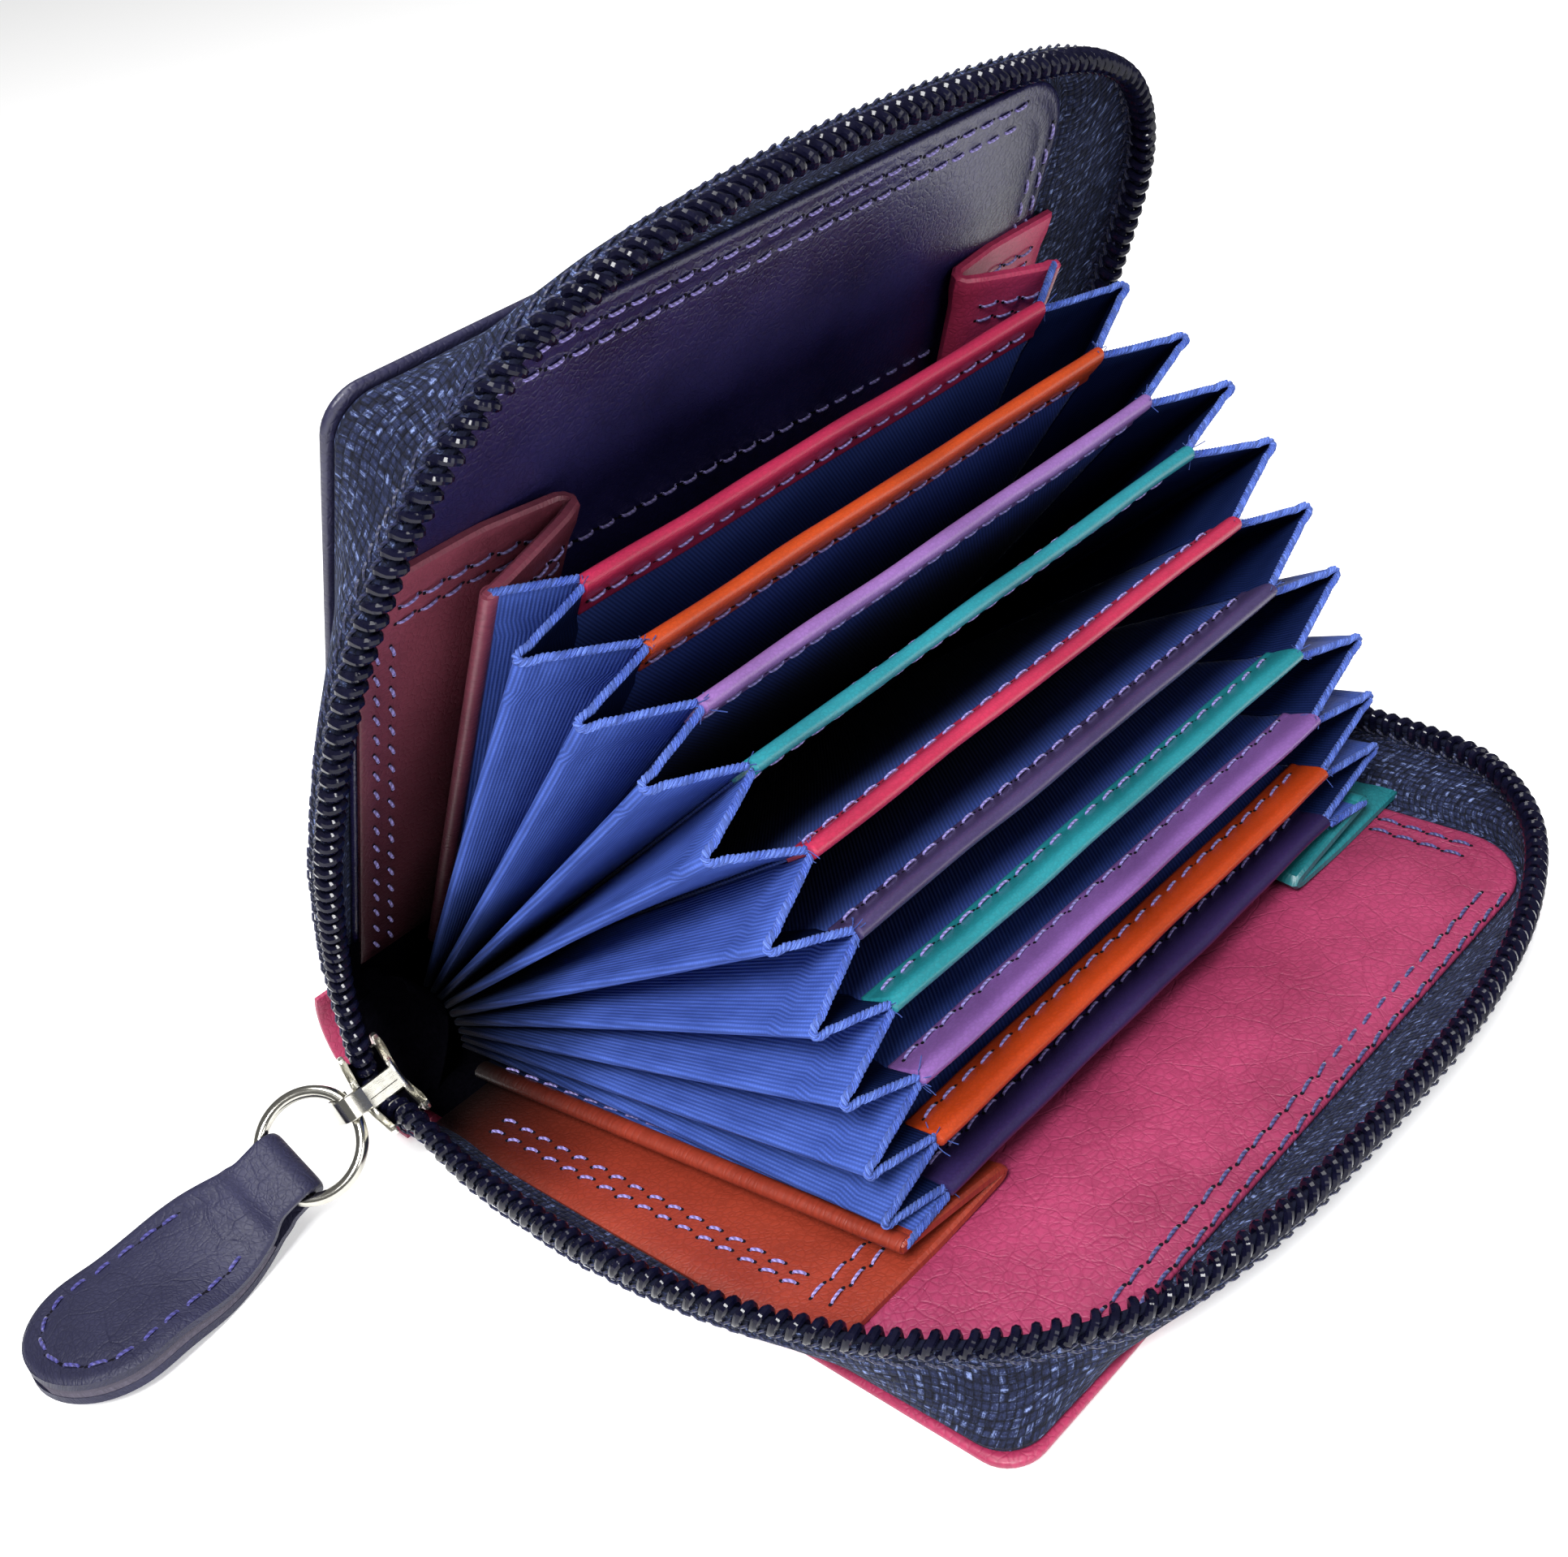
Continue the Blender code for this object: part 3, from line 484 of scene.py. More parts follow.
def weave(name, dark, mid, fleck, pitch=0.75, deep=0.16):
    """A coarse plain weave of flecked yarn."""
    m = Shade(name)
    place = m.warp(0.22, 0.6)
    parts = m.tree.nodes.new("ShaderNodeSeparateXYZ")
    m.tree.links.new(place, parts.inputs[0])
    a, b = m.math("DIVIDE", parts.outputs[0], pitch), m.math("DIVIDE", parts.outputs[1], pitch)
    ia, ib = m.math("FLOOR", a), m.math("FLOOR", b)
    fa, fb = m.math("FRACT", a), m.math("FRACT", b)
    over = m.math("MODULO", m.math("ABSOLUTE", m.math("ADD", ia, ib)), 2.0)
    wa = m.math("SINE", m.math("MULTIPLY", fa, math.pi))
    wb = m.math("SINE", m.math("MULTIPLY", fb, math.pi))
    warp = m.math("MULTIPLY", m.math("POWER", wa, 0.7), m.math("MULTIPLY_ADD", wb, 0.7, 0.3))
    weft = m.math("MULTIPLY", m.math("POWER", wb, 0.7), m.math("MULTIPLY_ADD", wa, 0.7, 0.3))
    high = m.math("ADD", m.math("MULTIPLY", warp, m.math("SUBTRACT", 1.0, over)), m.math("MULTIPLY", weft, over))
    yarn_a = m.noise(1.0, 3.0, 0.7, m.combine(m.math("MULTIPLY", ia, 7.3), m.math("MULTIPLY", b, 1.1), 0.0))
    yarn_b = m.noise(1.0, 3.0, 0.7, m.combine(m.math("MULTIPLY", a, 1.1), m.math("MULTIPLY", ib, 5.7), 9.0))
    yarn = m.math("ADD", m.math("MULTIPLY", yarn_a, m.math("SUBTRACT", 1.0, over)), m.math("MULTIPLY", yarn_b, over))
    fuzz = m.noise(5.5, 4.0, 0.7)
    tone = m.math("ADD", yarn, m.math("MULTIPLY_ADD", fuzz, 0.5, -0.25))
    colour = m.mix(m.span(tone, 0.38, 0.56), dark, mid)
    colour = m.mix(m.span(tone, 0.56, 0.76), colour, fleck)
    colour = m.mix(1.0, colour, m.grey(m.span(high, 0.1, 0.8, 0.25, 1.1)), "MULTIPLY")
    height = m.math("ADD", high, m.math("MULTIPLY", fuzz, 0.25))
    return m.finish(colour, 0.8, height, deep, sheen=0.04, sheen_tint=(0.6, 0.7, 1.0), specular=0.2)


def ribbed(name, light, dark, pitch=0.42, deep=0.05, rough=0.55, sheen=0.12, tint=(0.55, 0.68, 1.0), shade=None):
    """Fine ribbed ribbon: threads run along v, bound by finer ones across."""
    m = Shade(name)
    rib = m.math("MULTIPLY_ADD", m.math("COSINE", m.math("MULTIPLY", m.u, 2 * math.pi / pitch)), -0.5, 0.5)
    shift = m.math("MULTIPLY", m.math("FLOOR", m.math("DIVIDE", m.u, pitch)), math.pi)
    cross = m.math("MULTIPLY_ADD", m.math("COSINE", m.math("MULTIPLY_ADD", m.v, 2 * math.pi / (pitch * 0.9), shift)), 0.5, 0.5)
    high = m.math("MULTIPLY", rib, m.math("MULTIPLY_ADD", cross, 0.35, 0.65))
    thread = m.noise(1.0, 2.0, 0.6, m.combine(m.math("MULTIPLY", m.u, 2.4), m.math("MULTIPLY", m.v, 0.22), 0.0))
    broad = m.noise(0.09, 3.0, 0.5)
    fuzz = m.noise(6.0, 3.0, 0.7)
    tone = m.math("ADD", m.math("MULTIPLY_ADD", thread, 0.8, -0.4), m.math("ADD", broad, m.math("MULTIPLY_ADD", fuzz, 0.3, -0.15)))
    colour = m.mix(m.span(tone, 0.3, 0.72), dark, light)
    colour = m.mix(1.0, colour, m.grey(m.span(high, 0.0, 0.9, 0.62, 1.12)), "MULTIPLY")
    if shade:
        colour = m.fade(colour, shade)
    return m.finish(colour, rough, high, deep, sheen=sheen, sheen_tint=tint, specular=0.05)


def twilled(name, light, dark, pitch=0.5, deep=0.04, shade=None):
    m = Shade(name)
    line = m.math("MULTIPLY", m.math("ADD", m.u, m.math("MULTIPLY", m.v, 0.8)), 2 * math.pi / pitch)
    rib = m.math("MULTIPLY_ADD", m.math("COSINE", line), -0.5, 0.5)
    back = m.math("MULTIPLY_ADD", m.math("COSINE", m.math("MULTIPLY", m.math("SUBTRACT", m.u, m.v), 2 * math.pi / 0.36)), 0.5, 0.5)
    high = m.math("MULTIPLY", rib, m.math("MULTIPLY_ADD", back, 0.3, 0.7))
    broad = m.noise(0.07, 3.0, 0.5)
    fuzz = m.noise(5.0, 3.0, 0.7)
    tone = m.math("ADD", broad, m.math("MULTIPLY_ADD", fuzz, 0.4, -0.2))
    colour = m.mix(m.span(tone, 0.3, 0.7), dark, light)
    colour = m.mix(1.0, colour, m.grey(m.span(high, 0.0, 0.9, 0.6, 1.12)), "MULTIPLY")
    if shade:
        colour = m.fade(colour, shade)
    return m.finish(colour, 0.75, high, deep, sheen=0.02, sheen_tint=(0.5, 0.6, 1.0), specular=0.12)


def thread(name, light, dark, rough=0.5):
    m = Shade(name)
    ply = m.math("SINE", m.math("ADD", m.math("MULTIPLY", m.v, 2 * math.pi / 0.62), m.math("MULTIPLY", m.u, 2 * math.pi / 1.2)))
    ply = m.math("MULTIPLY_ADD", ply, 0.5, 0.5)
    tone = m.noise(0.35, 2.0, 0.6)
    colour = m.mix(m.span(tone, 0.35, 0.65), dark, light)
    colour = m.mix(1.0, colour, m.grey(m.math("MULTIPLY_ADD", ply, 0.6, 0.45)), "MULTIPLY")
    return m.finish(colour, rough, ply, 0.06, sheen=0.2, specular=0.4)


def metal(name, colour, rough=0.16, deep=0.004):
    m = Shade(name)
    scratch = m.noise(1.0, 4.0, 0.75, m.combine(m.math("MULTIPLY", m.u, 9.0), m.math("MULTIPLY", m.v, 0.9), 0.0))
    cloud = m.noise(0.7, 3.0, 0.6)
    gloss = m.math("ADD", m.math("MULTIPLY_ADD", scratch, 0.14, rough - 0.07), m.math("MULTIPLY_ADD", cloud, 0.16, -0.06))
    tone = m.mix(m.span(cloud, 0.35, 0.7), colour, tuple(c * 0.86 for c in colour))
    return m.finish(tone, gloss, scratch, deep, metal=1.0)


def glossy(name, light, dark, rough=0.12, coat=0.6):
    m = Shade(name)
    cloud = m.noise(0.8, 3.0, 0.6)
    tone = m.mix(m.span(cloud, 0.35, 0.65), dark, light)
    gloss = m.math("MULTIPLY_ADD", m.noise(3.0, 3.0, 0.7), 0.14, rough)
    return m.finish(tone, gloss, m.noise(3.0, 3.0, 0.6), 0.01, coat=coat, specular=0.18)


def dull(name, light, dark, rough=0.9, specular=0.1):
    m = Shade(name)
    tone = m.mix(m.span(m.noise(1.6, 4.0, 0.7), 0.35, 0.65), dark, light)
    return m.finish(tone, rough, m.noise(5.0, 4.0, 0.7), 0.06, specular=specular)


NAVY = leather("navy_leather", (0.020, 0.019, 0.052), (0.014, 0.013, 0.039), 0.42, 0.8, 0.045, 0.25, 0.1)
BERRY = leather("berry_leather", (0.36, 0.030, 0.095), (0.27, 0.018, 0.062), 0.48, 0.8, 0.05, 0.2, 0.08)
INDIGO = leather("indigo_lining", (0.015, 0.012, 0.066), (0.007, 0.006, 0.036), 0.30, 0.75, 0.05, 0.2, 0.15, 0.45, 0.5)
MAGENTA = leather("magenta_lining", (0.32, 0.033, 0.100), (0.22, 0.021, 0.066), 0.48, 1.0, 0.06, 0.8, 0.10)
PULL = leather("pull_leather", (0.023, 0.023, 0.054), (0.014, 0.014, 0.036), 0.50, 0.6, 0.045, 0.9, 0.0, 0.45, 0.28)
TAPE = weave("tape_weave", (0.003, 0.004, 0.013), (0.014, 0.020, 0.060), (0.22, 0.29, 0.56))
# The ribbon is painted darker towards the pleats' roots at the hub: painted shade.
RIBBON = ribbed("blue_ribbon", (0.062, 0.114, 0.430), (0.040, 0.076, 0.310),shade=((2.0, 24.0), 0.01), sheen=0.01)
# A darker copy of the ribbon, also darker towards the root, for the faces inside the pleats: painted shade.
RIBBON_SHADED = ribbed("blue_ribbon_painted_shade", (0.006, 0.013, 0.062), (0.004, 0.009, 0.044), shade=((0.0, 30.0), 0.02), sheen=0.0)
RIBBON_EDGE = ribbed("ribbon_edge", (0.130, 0.210, 0.620), (0.030, 0.060, 0.300), 0.24, 0.05)
# The twill is painted darker from the binding down into the pocket: painted shade.
TWILL = twilled("divider_twill", (0.042, 0.082, 0.340), (0.026, 0.054, 0.240), shade=((24.0, 57.0), 0.03))
NYLON = glossy("nylon_teeth", (0.005, 0.005, 0.015), (0.002, 0.002, 0.008), 0.03, 0.0)
CORD = dull("coil_cord", (0.007, 0.008, 0.022), (0.003, 0.004, 0.011))
NICKEL = metal("nickel", (0.52, 0.505, 0.455), 0.13)
CAST_NICKEL = metal("cast_nickel", (0.80, 0.78, 0.70), 0.26, 0.001)
THREAD = thread("violet_thread", (0.40, 0.35, 0.74), (0.24, 0.20, 0.55))
DARK_THREAD = thread("dark_thread", (0.10, 0.10, 0.30), (0.04, 0.045, 0.15))
COIL_THREAD = thread("coil_thread", (0.030, 0.038, 0.120), (0.010, 0.012, 0.042))
PULL_THREAD = thread("pull_thread", (0.085, 0.080, 0.330), (0.045, 0.042, 0.190))
# Dark discs at the needle holes: painted shade in the holes.
HOLE_SHADE = dull("needle_hole_painted_shade", (0.006, 0.005, 0.010), (0.003, 0.003, 0.006))
# Near-black with no shine, for pieces that stand in for deep shadow: painted shade.
SHADE_BLACK = dull("black_painted_shade", (0.0016, 0.0014, 0.0026), (0.0007, 0.0007, 0.0013), 1.0, 0.0)
BOARD = dull("grey_board", (0.10, 0.09, 0.12), (0.06, 0.055, 0.075))
# Painted darker towards the hub: painted shade.
ROSE = leather("rose_leather", (0.24, 0.050, 0.082), (0.16, 0.032, 0.054), 0.42, 0.7, 0.04, 0.25, 0.12, shade=((0.0, 52.0), 0.12))
CRIMSON_FOLD = leather("crimson_leather", (0.50, 0.038, 0.115), (0.38, 0.028, 0.082), 0.42, 0.7, 0.04, 0.2, 0.12)
# Painted darker towards the hub: painted shade.
ORANGE_FOLD = leather("orange_leather", (0.28, 0.034, 0.016), (0.20, 0.023, 0.011), 0.42, 0.7, 0.035, 0.2, 0.12, shade=((0.0, 22.0), 0.01))
TEAL_FOLD = leather("teal_leather", (0.014, 0.17, 0.20), (0.008, 0.12, 0.14), 0.42, 0.7, 0.04, 0.2, 0.12)
BINDING = {
    1: ("crimson", (0.37, 0.017, 0.062)),
    2: ("orange", (0.42, 0.048, 0.007)),
    3: ("lilac", (0.225, 0.110, 0.330)),
    4: ("teal", (0.016, 0.200, 0.245)),
    5: ("raspberry", (0.38, 0.020, 0.062)),
    6: ("slate", (0.044, 0.030, 0.092)),
    7: ("teal_deep", (0.014, 0.190, 0.225)),
    8: ("purple", (0.190, 0.085, 0.290)),
    9: ("orange_low", (0.40, 0.042, 0.006)),
    10: ("ink", (0.024, 0.014, 0.070)),
}
BINDING_SKIN = {
    i: leather(f"binding_{name}", c, tuple(v * 0.74 for v in c), 0.34, 0.5, 0.02, 0.15, 0.2) for i, (name, c) in BINDING.items()
}

# ---------------------------------------------------------------- covers, linings and spine

SIDES = (("lower", lower, "lower_half"), ("upper", upper, "upper_half"))


def sway(x, s, seed, size):
    a, b = seed * 1.7, seed * 0.9
    return size * (np.sin(x * 0.071 + a) * np.cos(s * 0.083 + b) + 0.5 * np.sin(x * 0.17 + s * 0.13 + b))


def plate_piece(name, place, body, mat, box, corners, profile, seed, swell, replaces):
    """A leather panel: rings of the outline, moved inward step by step, each at its own height."""
    build = Build()
    rings, uvs = [], []
    for inset, z, loose in profile:
        line = rounded(*box, *corners, inset=inset)
        lift = sway(line[:, 0], line[:, 1], seed, swell) * loose
        rings.append(place(line[:, 0], line[:, 1], z + lift))
        uvs.append(line)
    build.loft(np.array(rings), np.array(uvs))
    return build.piece(name, mat, body, replaces=replaces, angle=50)


COVER_PROFILE = (
    (34, 0.0, 0), (20, 0.0, 0), (9, 0.0, 0), (4.2, 0.0, 0), (3.2, 0.04, 0), (2.6, 0.12, 0), (2.0, 0.04, 0), (1.0, 0.02, 0),
    (0.5, 0.09, 0), (0.16, 0.26, 0), (0.0, 0.55, 0), (0.04, 0.86, 0), (0.25, 1.05, 0), (0.7, 1.12, 0), (2.6, 1.12, 0),
    (3.0, 0.95, 0), (6, 0.92, 0),
)
LINING_PROFILE = (
    (6, 1.75, 0), (0.5, 1.75, 0), (0.12, 1.85, 0), (0.0, 2.1, 0), (0.1, 2.4, 0), (0.4, 2.58, 0), (0.9, 2.6, 0.1), (1.3, 2.52, 0.1),
    (1.8, 2.62, 0.3), (2.6, 2.66, 0.4), (3.4, 2.62, 0.5), (3.8, 2.54, 0.5), (4.3, 2.64, 0.6), (6, 2.68, 0.8), (9, 2.7, 1), (13, 2.7, 1),
    (17, 2.7, 1), (21, 2.7, 1), (25, 2.7, 1), (29, 2.7, 1), (33, 2.7, 1), (37, 2.7, 1), (39.5, 2.7, 1),
)
COVER_BOX = (-52.8, 49.0, 0.3, 82.5)
LINING_BOX = {"lower": (-51.5, 47.6, 1.2, 81.4), "upper": (-51.5, 48.2, 1.2, 80.6)}
for which, place, body in SIDES:
    skin, lining = (BERRY, MAGENTA) if which == "lower" else (NAVY, INDIGO)
    plate_piece(
        f"cover_leather_{which}", place, body, skin,
        COVER_BOX, (4.0, 1.5, 9.0), COVER_PROFILE, 1, 0.0, f"{which}_cover",
    )
    plate_piece(
        f"lining_leather_{which}", place, body, lining,
        LINING_BOX[which], (6.0, 2.0, 9.0), LINING_PROFILE, 2 if which == "lower" else 5, 0.20, f"{which}_lining",
    )


def arc_grid(x, radius, first, last, count, wave=0.0):
    """A curved band about the hinge line: rows along the turn, columns along x."""
    a = np.radians(np.linspace(first, last, count))[:, None]
    x = np.asarray(x)[None]
    r = radius + wave * np.sin(x * 0.19) * np.sin((a - a[0]) / (a[-1] - a[0]) * math.pi)
    x, r, a = np.broadcast_arrays(x, r, a)
    return np.stack([x, HINGE_Y + r * np.cos(a), HINGE_Z + r * np.sin(a)], -1)


BACK = (-90 + 1.2, -90 + (180 - OPEN) - 1.2)
hinge_span = ("lower_half", "upper_half", P(0, -0.5, -10.8, 0), P(0, -0.5, 10.8, OPEN))
build = Build()
slab(build, arc_grid(np.linspace(-55, 55, 40), 10.75, *BACK, 22, 0.12), 0.9)
build.piece("spine_skin", BERRY, blend=hinge_span, replaces="spine_leather")
# The lining inside the spine, coloured near-black as painted shade.
build = Build()
slab(build, arc_grid(np.linspace(-52.5, 52.5, 40), 9.7, BACK[0] + 3, BACK[1] - 3, 22, 0.25), 0.5)
build.piece("spine_lining", SHADE_BLACK, blend=hinge_span)

# A near-black gathered cloth closes each end of the spine, behind the zip's ends; its black is painted shade.
for side, name in ((-1, "front"), (1, "back")):
    build = Build()
    # Angles here turn from straight down, round the back, to the upper cover.
    a = np.radians(np.linspace(-88, 90 - OPEN + 88, 61))
    rows = []
    for r in (0.3, 1.6, 3.0, 4.4, 5.8, 7.2, 8.4, 9.3):
        fold = 0.3 * np.sin(a * 13) * (r / 9)
        x = side * (46.0 + 5.0 * (r / 9.3) ** 1.5 + fold)
        rows.append(np.stack([x, HINGE_Y + r * np.cos(a), HINGE_Z + r * np.sin(a)], -1))
    slab(build, np.array(rows), 0.4)
    build.piece(f"black_painted_shade_{name}", SHADE_BLACK, blend=hinge_span)

    # A near-black sheet of painted shade runs on over each cover's lining as far as the leather folds.
    for which, place, body in SIDES:
        build = Build()
        xs, ss = np.meshgrid(side * np.linspace(33.0, 52.4, 16), np.linspace(-1.0, 8.2, 10))
        ss = ss + 1.6 * np.exp(-(((np.abs(xs) - 52) / 6) ** 2)) * np.maximum(ss, 0) / 8
        slab(build, place(xs, ss, 2.98 + 0.10 * np.sin(xs * 0.8) * np.sin(ss * 0.5)), 0.3)
        build.piece(f"hub_shade_apron_{name}_{which}", SHADE_BLACK, body)

# ---------------------------------------------------------------- zip

ZIP_LINE = {
    "lower": (
        (-58.4, 5.1), (-58.8, 9.9), (-59.1, 13.6), (-59.5, 18), (-60.0, 27), (-60.0, 38), (-58.2, 52), (-54.2, 65.0), (-48.9, 74.6), (-42.4, 81.4),
        (-34, 86.3), (-19, 89.6), (1, 90.6), (16, 90.2), (30, 87.6), (43, 82.0), (51.4, 73.8), (54.4, 65), (55.4, 50), (56.0, 30), (56.6, 9),
    ),
    "upper": (
        (-58.4, 2.2), (-58.8, 7.2), (-58.8, 11.5), (-58.9, 18), (-59.6, 28), (-59.7, 38), (-57.9, 53.6), (-53.8, 67), (-46.8, 78.9), (-34.6, 88.2),
        (-16, 91.6), (6, 91.8), (31, 89.0), (44, 84.6), (52.0, 78.0), (57.0, 69), (58.4, 58), (58.2, 35), (57.2, 9),
    ),
}
BASE_BOX = {"lower": (-52.2, 48.4, 2.2, 81.9), "upper": (-52.2, 48.8, 2.2, 81.9)}
BASE_ROUND = {-1: 4.0, 1: 9.0}
# Near the slider the rows lift off their own planes towards its mouths: place along the row, and lift.
ZIP_RISE = {
    "lower": ((5.1, 0.8), (7.5, 1.9), (9.9, 2.3), (13.6, 1.1), (18.0, 0.0)),
    "upper": ((2.2, 3.7), (4.7, 3.5), (7.2, 3.0), (11.5, 1.3), (17.0, 0.0)),
}
COIL_PITCH = 1.76
COIL_Z = HINGE_Z - 2.2


def base_line(which, count):
    """Where the tape leaves the cover's edge, from left rear round the front to right rear."""
    x0, x1, s0, s1 = BASE_BOX[which]
    points = [(x0, s0 + 1.6)]
    for side, first in ((-1, 180), (1, 90)):
        r = BASE_ROUND[side]
        cx, cs = (x0 + r if side < 0 else x1 - r), s1 - r
        for k in range(9):
            a = math.radians(first - 90 * k / 8)
            points.append((cx + r * math.cos(a), cs + r * math.sin(a)))
    points.append((x1, s0 + 1.6))
    return even(points, count)


TAPE_STEPS = ((1.38, -0.30), (1.5, -0.04), (1.9, 0.05), (2.6, 0.18), (3.6, 0.42), (4.8, 0.72), (5.8, 0.91), (6.6, 0.99), (7.5, 1.0), (8.3, 1.0), (8.75, 1.0))


def matched(which, count):
    """The zip's line and, beside it, the place on the cover's edge that each point hangs from."""
    line = spline(ZIP_LINE[which], count)
    base = base_line(which, 1200)
    run, base_run = total(line), total(base)
    x0, x1, s0, s1 = BASE_BOX[which]
    # The ends go with the ends, and each corner of the cover goes with the zip's nearest place to it.
    stops, base_stops = [0.0], [0.0]
    for corner in ((x0, s1), (x1, s1)):
        stops.append(run[np.argmin(np.linalg.norm(line - corner, axis=1))])
        base_stops.append(base_run[np.argmin(np.linalg.norm(base - corner, axis=1))])
    want = np.interp(run, [*stops, run[-1]], [*base_stops, base_run[-1]])
    for _ in range(400):
        want[1:-1] = want[1:-1] * 0.5 + (want[:-2] + want[2:]) * 0.25
    return line, at_length(base, want)


for which, place, body in SIDES:
    count = 420
    line, held = matched(which, count)
    tangent = unit(np.gradient(line, axis=0))
    out = np.stack([-tangent[:, 1], tangent[:, 0]], -1)
    rise = np.interp(line[:, 1], *np.array(ZIP_RISE[which]).T)
    rise[count // 3 :] = 0.0
    for _ in range(12):
        rise[1:-1] = rise[1:-1] * 0.5 + (rise[:-2] + rise[2:]) * 0.25

    def level(w):
        """Height of the coil's middle at these lengths along the row."""
        return COIL_Z + np.interp(w, total(line), rise)

    grid = []
    for z, f in TAPE_STEPS:
        if f < 0:
            flat = held - out * 9.6 * -f
        else:
            flat = held * (1 - f) + line * f
        grid.append(place(flat[:, 0], flat[:, 1], z + rise * max(f, 0)))
    grid = np.array(grid)
    # Denser across.
    fine = []
    for k in range(len(grid) - 1):
        for t in (0.0, 0.5):
            fine.append(grid[k] * (1 - t) + grid[k + 1] * t)
    fine = np.array([*fine, grid[-1]])
    build = Build()
    slab(build, fine, 0.5, flip_uv=False)
    tape = build.piece(f"tape_weave_{which}", TAPE, body, replaces=f"zip_tape_{which}")

    # The coil: one turn of wire to each tooth, flattened, with its mating side towards the middle.
    run = total(line)[-1]
    turns = int(run / COIL_PITCH)
    steps = 18
    k = np.arange(turns * steps + 1) / steps
    a = 2 * math.pi * k
    lean = 0.17 * np.sin(a)
    w = np.clip((k + lean) * COIL_PITCH, 0, run)
    c = at_length(line, w)
    o = unit(np.stack([np.interp(w, total(line), out[:, m]) for m in range(2)], -1))

    def rounder(v, power):
        return np.sign(v) * np.abs(v) ** power

    across, high = 0.74 * rounder(np.cos(a), 0.75), 0.95 * rounder(np.sin(a), 0.75)
    xy = c + o * across[:, None]
    wire = place(xy[:, 0], xy[:, 1], level(w) + high)
    middle = place(c[:, 0], c[:, 1], level(w))
    build = Build()
    tube(build, wire, 0.50, 8, ups=wire - middle)
    build.piece(f"coil_{which}", NYLON, body, replaces=f"zip_coil_{which}", recalc=False)
    build = Build()
    thin = at_length(line, np.linspace(0, run, 300))
    tube(build, place(thin[:, 0], thin[:, 1], level(np.linspace(0, run, 300))), 0.45, 8)
    build.piece(f"coil_cord_{which}", CORD, body)

    # Thread that sews the coil down, on both faces of the tape.
    build = Build()
    for face in (1, -1):
        for row, (z, size) in enumerate(((7.55, 0.17), (6.7, 0.15))):
            for j in range(turns - 1):
                w = (j + 0.5 + 0.3 * row) * COIL_PITCH
                lean = 0.55 if row == 0 else -0.45
                p = at_length(line, np.array([w, w + 0.45 * COIL_PITCH, w + 0.85 * COIL_PITCH]))
                q = unit(np.stack([np.interp([w] * 3, total(line), out[:, m]) for m in range(2)], -1))
                d = np.array([0.27, 0.47, 0.27]) + rng.normal(0, 0.02)
                xy = p + q * (face * d)[:, None]
                zz = z - COIL_Z + level(w) + np.array([-lean, 0.0, lean]) * 0.5 + rng.normal(0, 0.05)
                tube(build, place(xy[:, 0], xy[:, 1], zz), size, 5)
    build.piece(f"coil_thread_{which}", COIL_THREAD, body)

# ---------------------------------------------------------------- stitches on the linings and covers


def plane_row(build, place, points, z, **kw):
    line = even(np.asarray(points, float), max(12, int(total(np.asarray(points, float))[-1])))
    p = place(line[:, 0], line[:, 1], np.full(len(line), z))
    n = unit(place(line[:, 0], line[:, 1], np.full(len(line), z + 1.0)) - p) * (1 if kw.pop("up", True) else -1)
    stitches(build, p, n, **kw)


build = Build()
for s, x0, x1 in ((81.0, -42, 41.5), (78.7, -43, 41.0)):
    plane_row(build, lower, ((x0, s), (x1, s)), 2.64)
for x, s0, s1 in ((45.0, 8, 77.0), (42.8, 8, 76.0)):
    plane_row(build, lower, ((x, s0), (x, s1)), 2.64)
build.piece("lining_seam_lower", [DARK_THREAD, HOLE_SHADE], "lower_half")
build = Build()
for s, x0, x1 in ((78.4, -44, 42.0), (76.0, -45, 41.5)):
    plane_row(build, upper, ((x0, s), (x1, s)), 2.64)
for x, s0, s1 in ((46.4, 8, 75.0), (44.2, 8, 74.0)):
    plane_row(build, upper, ((x, s0), (x, s1)), 2.64)
plane_row(build, upper, ((-36, 52.6), (36, 49.0)), 2.74, skew=0.04, length=2.3)
build.piece("lining_seam_upper", [THREAD, HOLE_SHADE], "upper_half")
for which, place, body in SIDES:
    build = Build()
    line = rounded(*COVER_BOX, 4.0, 1.5, 9.0, inset=2.5)
    line = np.vstack([line, line[:1]])
    plane_row(build, place, line, 0.1, up=False)
    build.piece(f"cover_seam_{which}", [DARK_THREAD, HOLE_SHADE], body)

# ---------------------------------------------------------------- dividers and their bindings

BINDING_SECTION = (
    (57.2, 0.30), (57.2, 0.50), (57.32, 0.60), (57.6, 0.62), (58.0, 0.52), (58.4, 0.54), (58.9, 0.64), (59.6, 0.72),
    (60.3, 0.80), (60.9, 0.84), (61.4, 0.76), (61.8, 0.50), (62.0, 0.16),
)


def normal_at(deg):
    return P(0, 0, 1, deg) - P(0, 0, 0, deg)


def leaf_blend(i):
    """From one divider to the next, square to the plane midway between them."""
    a = P(0, 32, root_offset(i), leaf_angle(i))
    b = P(0, 32, root_offset(i + 1), leaf_angle(i + 1))
    n = normal_at((leaf_angle(i) + leaf_angle(i + 1)) / 2)
    reach = n * np.dot(a - b, n) / 2
    return (a + b) / 2 + reach, (a + b) / 2 - reach


